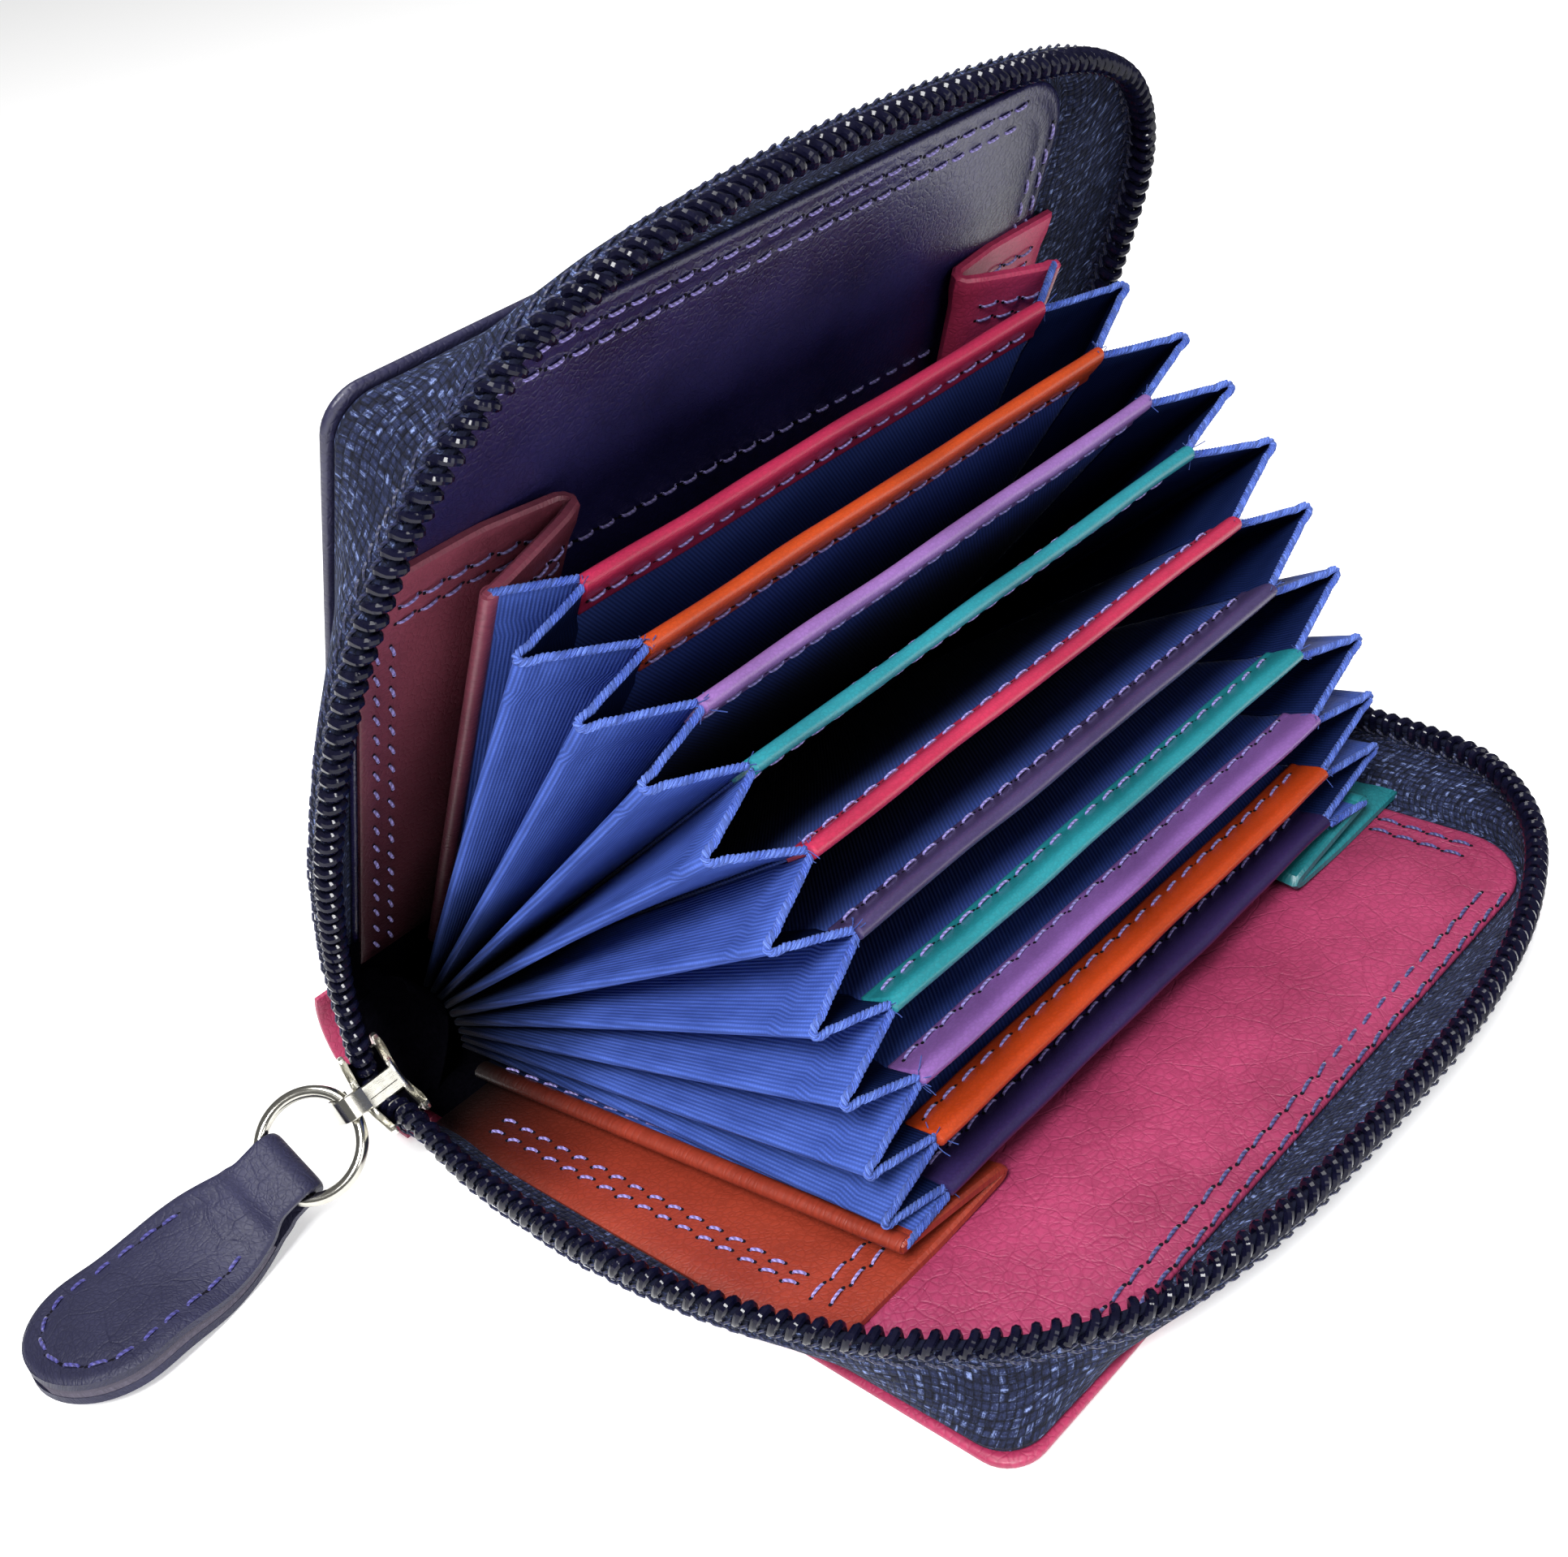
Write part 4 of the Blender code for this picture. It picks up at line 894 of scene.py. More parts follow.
for i in range(1, 11):
    n0, deg = root_offset(i), leaf_angle(i)
    x = np.linspace(-HALF, HALF, 40)
    s = np.linspace(1.2, 60.6, 34)
    X, S = np.meshgrid(x, s)
    bow = 0.10 * np.sin(X * 0.09 + i) * np.sin(S / 60 * math.pi) * (1 - (X / HALF) ** 8)
    build = Build()
    grid = P(X, S, n0 + bow, deg)
    slab(build, grid, 0.36)
    cloth = build.piece(f"divider_cloth_{i}", TWILL, f"leaf_{i}", replaces=f"divider_{i}")

    build = Build()
    half = list(BINDING_SECTION)
    section = half + [(s, -n) for s, n in half[::-1]]
    # A raw slot at the back takes the cloth's edge.
    stations = np.r_[-HALF - 0.25, -HALF - 0.05, np.linspace(-HALF + 0.3, HALF - 0.3, 46), HALF + 0.05, HALF + 0.25]
    rings, uvs = [], []
    around = np.r_[0, np.cumsum(np.linalg.norm(np.diff(np.array(section), axis=0), axis=1))]
    for k, xx in enumerate(stations):
        shrink = 0.72 if k in (0, len(stations) - 1) else 1.0
        wave_s = 0.10 * math.sin(xx * 0.13 + i * 1.3) + 0.05 * math.sin(xx * 0.45 + i)
        wave_n = 0.06 * math.sin(xx * 0.21 + i * 2.1)
        ring = []
        for ss, nn in section:
            mid = 59.8
            grow = 1 + 0.04 * math.sin(xx * 0.32 + i + ss)
            ring.append(P(xx, mid + (ss - mid) * (0.9 if shrink < 1 else 1) + wave_s * (ss - 56) / 6, n0 + (nn * grow + wave_n) * shrink, deg))
        rings.append(ring)
        uvs.append(np.stack([around, np.full(len(around), xx)], -1))
    build.loft(np.array(rings), np.array(uvs))
    build.piece(f"binding_roll_{i}", BINDING_SKIN[i], f"leaf_{i}", replaces=f"binding_{i}")

    build = Build()
    for face in (1, -1):
        xx = np.linspace(-HALF + 0.4, HALF - 0.4, 60)
        # Seams of neighbouring dividers lie beside each other when the wallet is shut.
        ss = {1: 59.0, 2: 58.5, 3: 59.0}.get(i, 58.55 if i % 2 else 58.05) + 0.05 * np.sin(xx * 0.3)
        p = P(xx, ss, n0 + face * (0.62 if i <= 2 else 0.57), deg)
        nn = unit(P(xx, ss, n0 + face * 1.5, deg) - p)
        stitches(build, p, nn, pitch=2.9, length=2.35, radius=0.17, skew=0.16, start=0.4 + 0.3 * face)
    build.piece(f"binding_seam_{i}", [THREAD, HOLE_SHADE], f"leaf_{i}")

# ---------------------------------------------------------------- pleated fabric ends

TIP_X = {-1: (44.4, 44.7, 43.9, 43.2, 42.8, 42.7, 42.7, 42.6, 41.9), 1: (47.3, 47.3, 47.4, 47.2, 46.9, 46.8, 46.9, 47.0, 47.4)}
TIP_ANGLE = {-1: (60.2, 52.3, 45.0, 37.2, 28.2, 19.8, 12.6, 5.0, -1.4), 1: (60.2, 51.5, 44.4, 36.9, 29.0, 21.4, 13.3, 6.2, -0.6)}


def seam_x(s):
    """How far out the ribbon starts: lapped over the divider's end, and butted against the binding at the mouth."""
    return HALF + 0.3 - 0.65 * ease((56.8 - s) / 1.5)


def pleat_grid(i, side, rows=30, leg=13, band=5):
    """The middle surface of one pleat: out from the upper divider to the flattened fold, and back to the lower one."""
    t = np.linspace(0, 1, rows)
    s_end = 1.6 + (61.0 - 1.6) * t
    edge_x = side * seam_x(s_end)
    a = P(edge_x, s_end, root_offset(i) - 0.34, leaf_angle(i))
    b = P(edge_x, s_end, root_offset(i + 1) + 0.34, leaf_angle(i + 1))
    up = unit(a - b)
    first = (a[0] + b[0]) / 2 * (0, 1, 1) + (side * (46.2 if side < 0 else 44.5), 0, 0)
    last = P(side * TIP_X[side][i - 1], 60.2, 0, TIP_ANGLE[side][i - 1])
    fold = first + (last - first) * t[:, None]
    fold[:, 0] += side * 0.35 * np.sin(t * math.pi) * math.sin(i * 1.9)
    half = (0.22 + (0.48 - 0.22) * t)[:, None]
    high, low = fold + up * half, fold - up * half
    cols = []
    for q in np.linspace(0, 1, leg):
        # Nearly straight, with a pressed line a little before the fold.
        dent = 0.14 * math.sin(q * math.pi) + 0.16 * math.exp(-(((q - 0.82) / 0.07) ** 2))
        cols.append(a * (1 - q) + high * q - up * (dent * t)[:, None])
    for q in np.linspace(0, 1, band + 2)[1:-1]:
        bulge = np.array((side * 0.34 * math.sin(q * math.pi), 0, 0))
        cols.append(high * (1 - q) + low * q + bulge * t[:, None])
    for q in np.linspace(0, 1, leg):
        dent = 0.14 * math.sin(q * math.pi) + 0.16 * math.exp(-(((q - 0.18) / 0.07) ** 2))
        cols.append(low * (1 - q) + b * q + up * (dent * t)[:, None])
    return np.stack(cols, 1)


def pleat_body(i):
    """Which bodies a pleat lies between, and from where to where."""
    if i == 5:
        hi = P(0, 60, root_offset(5) - 0.34, leaf_angle(5))
        lo = P(0, 60, root_offset(6) + 0.34, leaf_angle(6))
        t_lo, t_hi = 0.4278, 0.4923
        step = (hi - lo) / (t_hi - t_lo)
        start = lo - step * t_lo
        return ("lower_half", "upper_half", start, start + step)
    a, b = leaf_blend(i)
    return (f"leaf_{i}", f"leaf_{i + 1}", a, b)


for side, where in ((-1, "front"), (1, "back")):
    for i in range(1, 10):
        grid = pleat_grid(i, side)
        build = Build()
        facing = np.cross(np.gradient(grid, axis=1), np.gradient(grid, axis=0))[..., 0].mean() * side
        # The faces inside each pleat get the darker ribbon copy: painted shade.
        inner, outer = RIBBON_SHADED, RIBBON
        slab(build, grid, 0.3, under=1)
        skins = [outer, inner] if facing > 0 else [inner, outer]
        cloth = build.piece(f"pleat_{where}_{i}", skins, blend=pleat_body(i), replaces=f"gusset_{where}_{i}")
        build = Build()
        forward = unit(grid[-1] - grid[-2])
        edge = grid[-1] + forward * 0.12
        twisted(build, edge, 0.45, 1.0, strands=2, sides=6)
        for end in (0, -1):
            for _ in range(4):
                # Short threads that have come loose where the ribbon is sewn to the divider.
                way = unit(forward[end] * rng.uniform(0.2, 1.0) + rng.normal(0, 0.5, 3))
                size, turn_by = rng.uniform(0.7, 1.9), rng.normal(0, 0.35, 3)
                q = np.linspace(0, 1, 6)[:, None]
                tube(build, edge[end] + way * q * size + turn_by * q**2, 0.055, 4)
        build.piece(f"pleat_edge_{where}_{i}", RIBBON_EDGE, blend=pleat_body(i))

# ---------------------------------------------------------------- leather folds beside the end dividers


def fold_grids(side, top, spec, rows=28):
    """Grids of the fabric strip and of the folded leather between an end divider and its cover."""
    i, sign = (1, 1) if top else (10, -1)
    t = np.linspace(0, 1, rows)
    mouth_s = spec.get("mouth", 61.0)
    root_s = spec.get("root", 6.5)
    s = root_s + (mouth_s - root_s) * t
    cover_deg = OPEN if top else 0.0

    def at(x, f, s):
        a = P(side * x, s, root_offset(i) + sign * 0.34, leaf_angle(i))
        b = P(side * x, s, sign * 8.05, cover_deg)
        f = np.asarray(f)[..., None]
        return a * (1 - f) + b * f

    def ramp(pair):
        return pair[0] + (pair[1] - pair[0]) * t

    strip = []
    sewn_x, sewn_f = ramp(spec["sewn_x"]), ramp(spec["sewn_f"])
    for q in np.linspace(0, 1, 8):
        strip.append(at(seam_x(s) + (sewn_x - seam_x(s)) * q, sewn_f * q, s))
    fold_x, fold_f = ramp(spec["fold_x"]), ramp(spec["fold_f"])
    hem_x = ramp(spec["hem_x"])
    path = []
    for q in np.linspace(0, 1, 10)[:-1]:
        path.append((sewn_x + 0.3 + (fold_x + 0.9 - sewn_x - 0.3) * q, sewn_f + (fold_f - 0.05 - sewn_f) * q ** 1.1))
    path.append((fold_x + 0.25, fold_f - 0.01))
    path.append((fold_x, fold_f + 0.05))
    path.append((fold_x + 0.3, fold_f + 0.11))
    leaf_x, leaf_f = fold_x + 1.0, np.minimum(fold_f + 0.15, 0.97)
    for q in np.linspace(0, 1, 12):
        path.append((leaf_x + (hem_x - leaf_x) * q, leaf_f + (1.0 - leaf_f) * np.minimum(1, q * 2.6)))
    leaf = [at(x, f, s) for x, f in path]
    return np.stack(strip, 1), np.stack(leaf, 1), s


FOLDS = {
    ("front", "top"): dict(sewn_x=(43.2, 42.2), sewn_f=(0.36, 0.34), fold_x=(36.0, 27.8), fold_f=(0.6, 0.74), hem_x=(51.0, 51.0), mouth=61.6),
    ("back", "top"): dict(sewn_x=(43.0, 42.5), sewn_f=(0.36, 0.36), fold_x=(35.0, 31.5), fold_f=(0.6, 0.78), hem_x=(48.5, 50.0), mouth=61.0),
    ("front", "bottom"): dict(
        sewn_x=(46.6, 41.3), sewn_f=(0.30, 0.24), fold_x=(37.0, 26.6), fold_f=(0.7, 0.72), hem_x=(54.0, 53.2), mouth=61.4, root=4.6,
        rows=((2.7, 4.6), (4.7, 5.9)), row_start=6.0,
    ),
    ("back", "bottom"): dict(sewn_x=(43.0, 42.5), sewn_f=(0.36, 0.34), fold_x=(35.0, 27.6), fold_f=(0.6, 0.74), hem_x=(48.5, 49.6), mouth=61.6),
}
FOLD_SKIN = {
    ("front", "top"): (ROSE, "rose_leather"),
    ("back", "top"): (CRIMSON_FOLD, "crimson_leather"),
    ("front", "bottom"): (ORANGE_FOLD, "orange_leather"),
    ("back", "bottom"): (TEAL_FOLD, "teal_leather"),
}
for (where, which), spec in FOLDS.items():
    side, top = (-1 if where == "front" else 1), which == "top"
    i, sign = (1, 1) if top else (10, -1)
    bodies = ("upper_half", "leaf_1") if top else ("lower_half", "leaf_10")
    # Square to the cover and as long as the gap at the mouth.
    far = P(0, 61.6, sign * 8.05, OPEN if top else 0.0)
    near = P(0, 61.6, root_offset(i) + sign * 0.34, leaf_angle(i))
    square = normal_at(OPEN if top else 0.0)
    near = far + square * np.dot(near - far, square)
    blend = (*bodies, far, near)
    strip, leaf, s = fold_grids(side, top, spec)
    build = Build()
    slab(build, strip, 0.32)
    cloth = build.piece(f"fold_strip_{where}_{which}", RIBBON, blend=blend)
    width, length = flat_size(strip)
    # The cut is wider than what shows: its long edges are sewn in under the leather and on the divider.
    build = Build()
    twisted(build, strip[-1] + unit(strip[-1] - strip[-2]) * 0.12, 0.45, 1.0, strands=2, sides=6)
    build.piece(f"fold_strip_edge_{where}_{which}", RIBBON_EDGE, blend=blend)

    # The leather, thicker where its mouth edge is turned in.
    hem = 0.75 + 0.55 * ease((s - (s[-1] - 3.9)) / 0.7)
    build = Build()
    slab(build, leaf, np.repeat(hem[:, None], leaf.shape[1], 1), edge=0.5)
    # The rolled edge where it is sewn to the strip.
    roll = leaf[:, 0]
    outward = unit(leaf[:, 0] - leaf[:, 2])
    ups = unit(np.cross(np.gradient(roll, axis=0), outward))
    tube(build, roll - outward * 0.5, 1.15, 12, ups=ups, high=0.72)
    mat, slot = FOLD_SKIN[where, which]
    skin = build.piece(f"fold_leather_{where}_{which}", mat, blend=blend, replaces=f"gusset_leather_{where}_{which}")

    # Its stitches: along the rolled edge, along the turned mouth, and two rows beside the zip.
    build = Build()
    grid_n = unit(np.cross(np.gradient(leaf, axis=1), np.gradient(leaf, axis=0)))
    if np.dot(grid_n[-2, -3], P(0, 0, sign, OPEN if top else 0.0) - P(0, 0, 0, OPEN if top else 0.0)) > 0:
        grid_n = -grid_n
    # grid_n now faces away from the cover on the leaf that lies on it.

    def on_leaf(rows, cols):
        """Points and normals of the leather at fractional rows and columns."""
        rows, cols = np.broadcast_arrays(np.asarray(rows, float), np.asarray(cols, float))
        r0, c0 = np.clip(rows.astype(int), 0, leaf.shape[0] - 2), np.clip(cols.astype(int), 0, leaf.shape[1] - 2)
        fr, fc = (rows - r0)[:, None], (cols - c0)[:, None]

        def take(g):
            return (
                g[r0, c0] * (1 - fr) * (1 - fc) + g[r0 + 1, c0] * fr * (1 - fc) + g[r0, c0 + 1] * (1 - fr) * fc + g[r0 + 1, c0 + 1] * fr * fc
            )

        return take(leaf), unit(take(grid_n))

    last = leaf.shape[0] - 1
    per = total(leaf[:, -3])[-1] / last
    for back in (3.4, 5.6):
        p, n = on_leaf(np.full(30, last - back / per), np.linspace(12.2, leaf.shape[1] - 1.4, 30))
        thick = 1.3 if back < 3.9 else 0.75
        stitches(build, p + n * thick / 2, n, pitch=2.9, length=2.2, radius=0.17, skew=0.15)
        p, n = on_leaf(np.full(24, last - back / per), np.linspace(0.8, 8.6, 24))
        stitches(build, p - n * thick / 2, -n, pitch=2.9, length=2.2, radius=0.17, skew=0.15)
    for inset in spec.get("rows", ((1.5, 1.5), (3.4, 3.4))):
        width = np.linalg.norm(leaf[:, -1] - leaf[:, -2], axis=1)
        rows_at = np.linspace(spec.get("row_start", 1.0) / per, last - 4.4 / per, 40)
        inset_at = np.interp(rows_at, (1.0, last - 4.4 / per), inset)
        cols_at = (leaf.shape[1] - 1) - inset_at / np.interp(rows_at, np.arange(last + 1), width)
        p, n = on_leaf(rows_at, cols_at)
        stitches(build, p + n * 0.38, n, pitch=2.75, length=1.45, radius=0.19, skew=0.26, start=0.4)
    rows_at = np.linspace(1.0, last - 0.6, 40)
    p, n = on_leaf(rows_at, np.full(40, 1.5))
    stitches(build, p - n * 0.42, -n, pitch=2.9, length=2.2, radius=0.17, skew=0.12)
    build.piece(f"fold_seam_{where}_{which}", [THREAD, HOLE_SHADE], blend=blend)

# ---------------------------------------------------------------- slider, bail and ring

ZIP_X, SLIDER_S = -58.3, 3.6
SLIDER_TILT, SLIDER_YAW = math.radians(44), math.radians(14)


def slider_point(d, w, x):
    """A point of the slider: d forward from its post's front face, w across towards the lower row, x out of the wings' middle."""
    d, w, x = np.broadcast_arrays(np.asarray(d, float), w, x)
    # Its mouths also turn a little outward.
    ahead, out = d * math.cos(SLIDER_YAW) - x * math.sin(SLIDER_YAW), d * math.sin(SLIDER_YAW) + x * math.cos(SLIDER_YAW)
    c, s = math.cos(SLIDER_TILT), math.sin(SLIDER_TILT)
    return np.stack([ZIP_X - out, HINGE_Y - (4.74 + ahead * c + w * s), HINGE_Z + 1.04 + ahead * s - w * c], -1)


OUTLINE = (
    (-5.8, 0.0), (-5.8, 1.3), (-5.3, 2.3), (-3.6, 3.0), (-1.8, 3.6), (0.2, 4.2), (2.2, 4.7), (3.7, 4.95), (4.5, 4.8), (4.6, 4.35),
    (3.9, 4.0), (2.6, 3.55), (1.4, 2.95), (0.5, 2.1), (0.05, 1.1), (0.0, 0.0),
)
half = spline(OUTLINE, 46)
wing = np.vstack([half, (half * (1, -1))[::-1][1:-1]])
middle = np.array((-1.6, 0.0))
build = Build()
for sign in (-1, 1):
    rings = []
    for inset, off in ((2.2, 1.78), (0.14, 1.78), (0.03, 1.83), (0.0, 1.92), (0.0, 2.16), (0.05, 2.28), (0.16, 2.36), (0.45, 2.43), (1.1, 2.52), (2.2, 2.58)):
        w = wing + unit(middle - wing) * np.minimum(inset, np.linalg.norm(middle - wing, axis=1) * 0.8)[:, None]
        rings.append(slider_point(w[:, 0], w[:, 1], sign * off))
    build.loft(np.array(rings))
# The post between the wings, wedge shaped, with its casting line, and the lips that hold the coils in.
post = ((-4.2, 0.25), (-2.6, 0.6), (-1.2, 1.15), (-0.3, 1.38), (0.02, 1.36), (0.14, 1.22))
post = np.array([*post, *[(d, -w) for d, w in post[::-1]]])
build.loft(np.array([slider_point(post[:, 0], post[:, 1], x) for x in (-1.95, -1.0, 0.0, 1.0, 1.95)]))
axes = np.array([slider_point(*v) - slider_point(0, 0, 0) for v in ((0, 0, 1), (1, 0, 0), (0, 1, 0))])
soft_box(build, slider_point(0.12, 0.28, 0), axes, (3.4, 0.09, 0.09), 0.02, 1)
for sx in (-1, 1):
    for sw in (-1, 1):
        soft_box(build, slider_point(-0.6, sw * 3.95, sx * 1.62), axes, (0.55, 3.6, 0.5), 0.16)
# Inside the mouths a near-black lining stands in for the shadow there: painted shade.
core = np.array([(-5.3, 1.1), (-4.6, 1.9), (-1.8, 3.1), (0.2, 3.7), (1.6, 3.9), (1.2, 3.4), (0.2, 2.6), (-0.6, 1.6), (-0.9, 0.9)])
core = np.vstack([core, (core * (1, -1))[::-1]])
build.loft(np.array([slider_point(core[:, 0], core[:, 1], x) for x in (-1.76, 0.0, 1.76)]), mat=1)
build.piece("slider_shell", [CAST_NICKEL, SHADE_BLACK], "slider", replaces="zip_slider", angle=35)


def bail_point(b, u, x):
    a = math.radians(32.65)
    s = SLIDER_S - 0.2 + b * math.cos(a) + u * math.sin(a)
    z = 0.6 + b * math.sin(a) - u * math.cos(a)
    return np.array((ZIP_X - x, HINGE_Y - s, HINGE_Z + z))


line = [(-2.32, 2.4), (-2.32, 3.2), (-2.30, 4.1), (-2.22, 4.55), (-1.98, 4.86), (-1.6, 5.0), (-0.8, 5.03), (0.0, 5.04)]
line = np.array([*line, *[(-b, x) for b, x in line[-2::-1]]])
build = Build()
rings = []
tangent = unit(np.gradient(line, axis=0))
for (b, x), (tb, tx) in zip(line, tangent):
    ring = []
    for u, d in ((1.3, -0.22), (1.3, 0.22), (1.18, 0.34), (-1.18, 0.34), (-1.3, 0.22), (-1.3, -0.22), (-1.18, -0.34), (1.18, -0.34)):
        ring.append(bail_point(b - tx * d, u, x + tb * d))
    rings.append(ring)
build.loft(np.array(rings))
build.piece("slider_bridge", NICKEL, "slider", replaces="slider_bail", angle=30)

RING_T = unit((0.0, -0.86, -0.51))
RING_O = np.array((-0.85, 0.26, -0.44))
RING_O = unit(RING_O - RING_T * np.dot(RING_O, RING_T))
RING_F = np.cross(RING_O, RING_T)
RING_F = -RING_F if RING_F[2] < 0 else RING_F
RING_R, WIRE = 5.6, 0.7
hook = bail_point(0.0, 0.0, 2.4 + 1.25)
far = hook + RING_O * RING_R * 2
a = np.linspace(0, 2 * math.pi, 97)[:-1]
centre = hook + RING_O * (RING_R - RING_R * np.cos(a))[:, None] + RING_T * (RING_R * np.sin(a))[:, None]
spoke = -RING_O * np.cos(a)[:, None] + RING_T * np.sin(a)[:, None]
c = np.arange(16) * math.pi / 8
rings = centre[:, None] + WIRE * (spoke[:, None] * np.cos(c)[None, :, None] + RING_F * np.sin(c)[None, :, None])
build = Build()
build.loft(rings, closed=True)
build.piece("ring_wire", NICKEL, "ring", replaces="pull_ring")

# ---------------------------------------------------------------- the leather pull

PULL_LENGTH = 29.5
CAVITY, SLOT, STRAP = 1.25, 0.5, 1.15
LOOP_BACK, LOOP_FRONT = -2.75, 1.6
WIDE, NARROW = 8.5, 3.9
BEND = PULL_LENGTH - WIDE


def pull_frames(step=0.25):
    p = np.zeros(3)
    start = math.degrees(math.asin(-RING_O[2]))
    heading = math.degrees(math.atan2(RING_O[1], RING_O[0])) % 360
    tilt = math.degrees(math.asin(-RING_T[2]))
    out, run = [], 0.0
    while run <= PULL_LENGTH + 1e-6:
        e = float(ease((run - 1.5) / 17.0))
        drop = math.radians(start * (1 - e))
        turn = math.radians(heading + (181 - heading) * e)
        d = np.array((math.cos(drop) * math.cos(turn), math.cos(drop) * math.sin(turn), -math.sin(drop)))
        roll = math.radians(tilt * (1 - e))
        if run <= 1.5:
            w = RING_T
            d = RING_O
        else:
            w = np.array((0.0, -math.cos(roll), -math.sin(roll)))
            w = unit(w - d * np.dot(w, d))
        n = np.cross(d, w)
        n = -n if n[2] < 0 else n
        out.append(np.concatenate([[run], p, d, w, n]))
        p = p + d * step
        run += step
    return np.array(out)


PULL_FRAMES = pull_frames()


def pull_point(run, w, n):
    if run <= 0:
        return far + RING_O * run + RING_T * w + RING_F * n
    f = np.array([np.interp(run, PULL_FRAMES[:, 0], PULL_FRAMES[:, k]) for k in range(1, 13)])
    return far + f[:3] + f[6:9] * w + f[9:12] * n


def pull_half(run):
    if run > BEND:
        return math.sqrt(max(WIDE**2 - (run - BEND) ** 2, 0.16))
    f = min(1, max(0, (run - 1.0) / (BEND - 1.0)))
    return NARROW + (WIDE - NARROW) * (1 - (1 - f) ** 1.7)


def pull_inset(run, w):
    """How far a point is from the pull's outline."""
    if run > BEND:
        return WIDE - math.hypot(w, run - BEND)
    return pull_half(run) - abs(w)


def crown(run, w):
    e = pull_inset(run, w)
    swell = 0.22 * float(ease(e / 4.5)) * float(ease(run / 6))
    groove = 0.16 * math.exp(-(((e - 2.1) / 0.5) ** 2)) * float(ease((run - 4.5) / 2))
    pucker = 0.10 * math.sin(w * 2.3 + run * 1.1) * math.exp(-(((run - 5.5) / 3.0) ** 2)) * float(ease(e / 1.5))
    pucker += 0.07 * math.sin(run * 3.1 - w * 0.8) * math.exp(-(((run - 6.5) / 3.0) ** 2)) * float(ease(e / 1.5))
    edge = 0.30 * (1 - float(ease(e / 0.55))) ** 2
    return swell - groove + pucker - edge


def pull_middle(run):
    if run >= 3.4:
        return SLOT
    f = max(0, (run - LOOP_FRONT) / (3.4 - LOOP_FRONT))
    return CAVITY + (SLOT - CAVITY) * f * f * (3 - 2 * f)


ACROSS = np.sin(np.linspace(-math.pi / 2, math.pi / 2, 21))


def pull_ring_at(run, side, q, curl=None):
    h = pull_half(max(run, 0))
    ring = []
    for f in ACROSS:
        w = h * f
        top = q + STRAP + crown(run, w)
        if curl is None:
            ring.append(pull_point(run, w, side * top))
        else:
            r = CAVITY + STRAP - (0.25 * abs(f) ** 14)
            ring.append(pull_point(LOOP_BACK + CAVITY + r * math.cos(curl), w, r * math.sin(curl)))
    for f in ACROSS[::-1]:
        w = h * f * 0.985
        if curl is None:
            ring.append(pull_point(run, w, side * (q + 0.02)))
        else:
            ring.append(pull_point(LOOP_BACK + CAVITY + CAVITY * math.cos(curl), w, CAVITY * math.sin(curl)))
    return ring


ends = [BEND + WIDE * math.sin(t) for t in np.radians(np.linspace(6, 86, 17))] + [PULL_LENGTH]
runs = [*np.arange(0.0, BEND, 0.6), BEND, *ends]
build = Build()
rings = [pull_ring_at(r, 1, pull_middle(r)) for r in runs[::-1]]
for k in range(1, 16):
    rings.append(pull_ring_at(0.0, 1, CAVITY, curl=math.radians(90 + 180 * k / 16)))
rings += [pull_ring_at(r, -1, pull_middle(r)) for r in runs]
build.loft(np.array(rings))
build.piece("pull_skin", PULL, "pull", replaces="puller_strap", angle=55)
build = Build()
rings = []
for r in [4.0, *[v for v in runs if 4.4 < v < PULL_LENGTH - 0.25]]:
    h = pull_half(r) - 0.16
    rings.append([pull_point(r, w, n) for w, n in ((h, 0.5), (0, 0.5), (-h, 0.5), (-h, 0.1), (-h, -0.5), (0, -0.5), (h, -0.5), (h, 0.1))])
build.loft(np.array(rings))
build.piece("pull_stiffener", BOARD, "pull", replaces="puller_core")
build = Build()
for side in (1, -1):
    e = 2.1
    right = [(r, pull_half(r) - e) for r in np.linspace(6.2, BEND, 30)]
    round_end = [(BEND + (WIDE - e) * math.sin(t), (WIDE - e) * math.cos(t)) for t in np.linspace(0.03, math.pi - 0.03, 40)]
    left = [(r, -(pull_half(r) - e)) for r in np.linspace(BEND, 6.2, 30)]
    points, normals = [], []
    for r, w in right + round_end + left:
        top = pull_middle(r) + STRAP + crown(r, w)
        p = pull_point(r, w, side * top)
        points.append(p)
        normals.append(unit(pull_point(r, w, side * (top + 1)) - p))
    stitches(build, np.array(points), np.array(normals), pitch=2.75, length=2.15, radius=0.21, skew=0.10)
build.piece("pull_seam", [PULL_THREAD, HOLE_SHADE], "pull")

# ---------------------------------------------------------------- hidden hard parts that stay as they are

for name in ("zip_stop_lower", "zip_stop_upper"):
    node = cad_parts[name]
    node.data.materials.clear()
    node.data.materials.append(NICKEL)
for name in ("lower_board", "upper_board"):
    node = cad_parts[name]
    node.data.materials.clear()
    node.data.materials.append(BOARD)

# ---------------------------------------------------------------- floor, light and camera

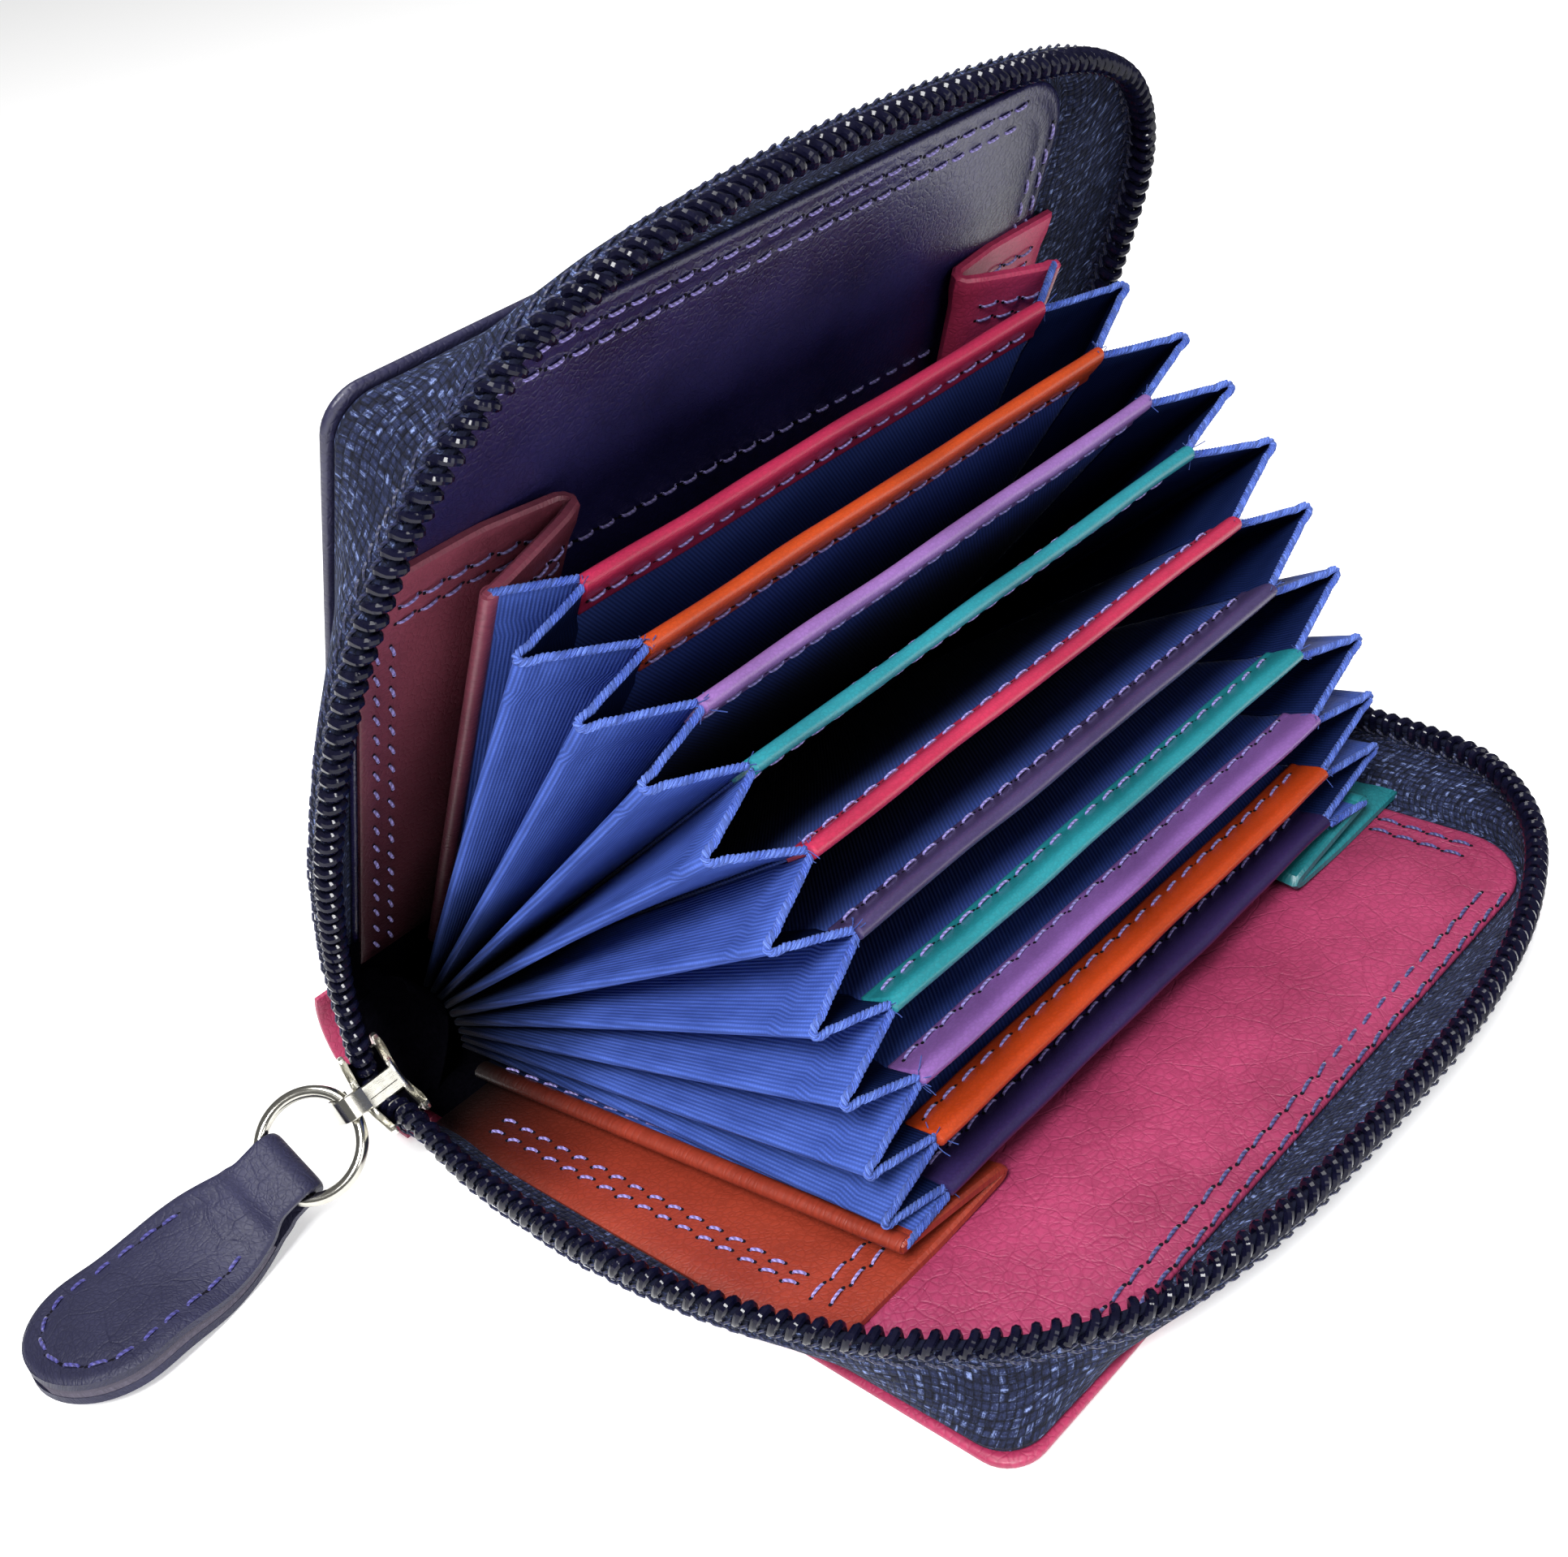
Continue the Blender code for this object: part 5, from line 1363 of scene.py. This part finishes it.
bpy.ops.mesh.primitive_plane_add(size=6, location=(0, 0, -0.0004))
floor = bpy.context.object
floor.name = "floor"
paper = Shade("floor_paper")
floor.data.materials.append(paper.finish((0.86, 0.86, 0.86), 0.7))
paper.bsdf.inputs["Emission Color"].default_value = (1.0, 1.0, 1.0, 1.0)
paper.bsdf.inputs["Emission Strength"].default_value = 0.42


def area_light(name, place, target, size, power, colour=(1, 1, 1)):
    data = bpy.data.lights.new(name, "AREA")
    data.shape = "DISK"
    data.size = size
    data.energy = power
    data.color = colour
    obj = bpy.data.objects.new(name, data)
    obj.location = place
    obj.rotation_euler = (Vector(target) - Vector(place)).to_track_quat("-Z", "Y").to_euler()
    bpy.context.scene.collection.objects.link(obj)


area_light("key_light", (-0.46, -0.26, 0.66), (0, 0, 0.03), 0.30, 10.5)
area_light("top_light", (-0.06, 0.12, 0.80), (0, 0, 0.03), 0.40, 3.6)
area_light("front_light", (-0.10, -0.62, 0.34), (0, 0, 0.04), 0.34, 1.3)
bpy.context.scene.view_settings.view_transform = "Standard"
world = bpy.data.worlds.new("studio")
bpy.context.scene.world = world
world.use_nodes = True
world.node_tree.nodes["Background"].inputs[0].default_value = (1, 1, 1, 1)
world.node_tree.nodes["Background"].inputs[1].default_value = 0.20


def look(az, el, roll):
    a, e = np.radians(az), np.radians(el)
    back = np.array([np.sin(a) * np.cos(e), -np.cos(a) * np.cos(e), np.sin(e)])
    right = unit(np.cross([0, 0, 1], back))
    up = np.cross(back, right)
    c, s = np.cos(np.radians(roll)), np.sin(np.radians(roll))
    return np.array([c * right + s * up, -s * right + c * up, back])


data = bpy.data.cameras.new("camera")
data.lens = 46.03
data.sensor_width = 36
data.clip_start = 0.005
data.clip_end = 20
camera = bpy.data.objects.new("camera", data)
turn = Matrix(look(-41.29, 32.12, -11.28).T.tolist()).to_4x4()
turn.translation = Vector((-0.13179, -0.11939, 0.14401))
camera.matrix_world = turn
bpy.context.scene.collection.objects.link(camera)
bpy.context.scene.camera = camera
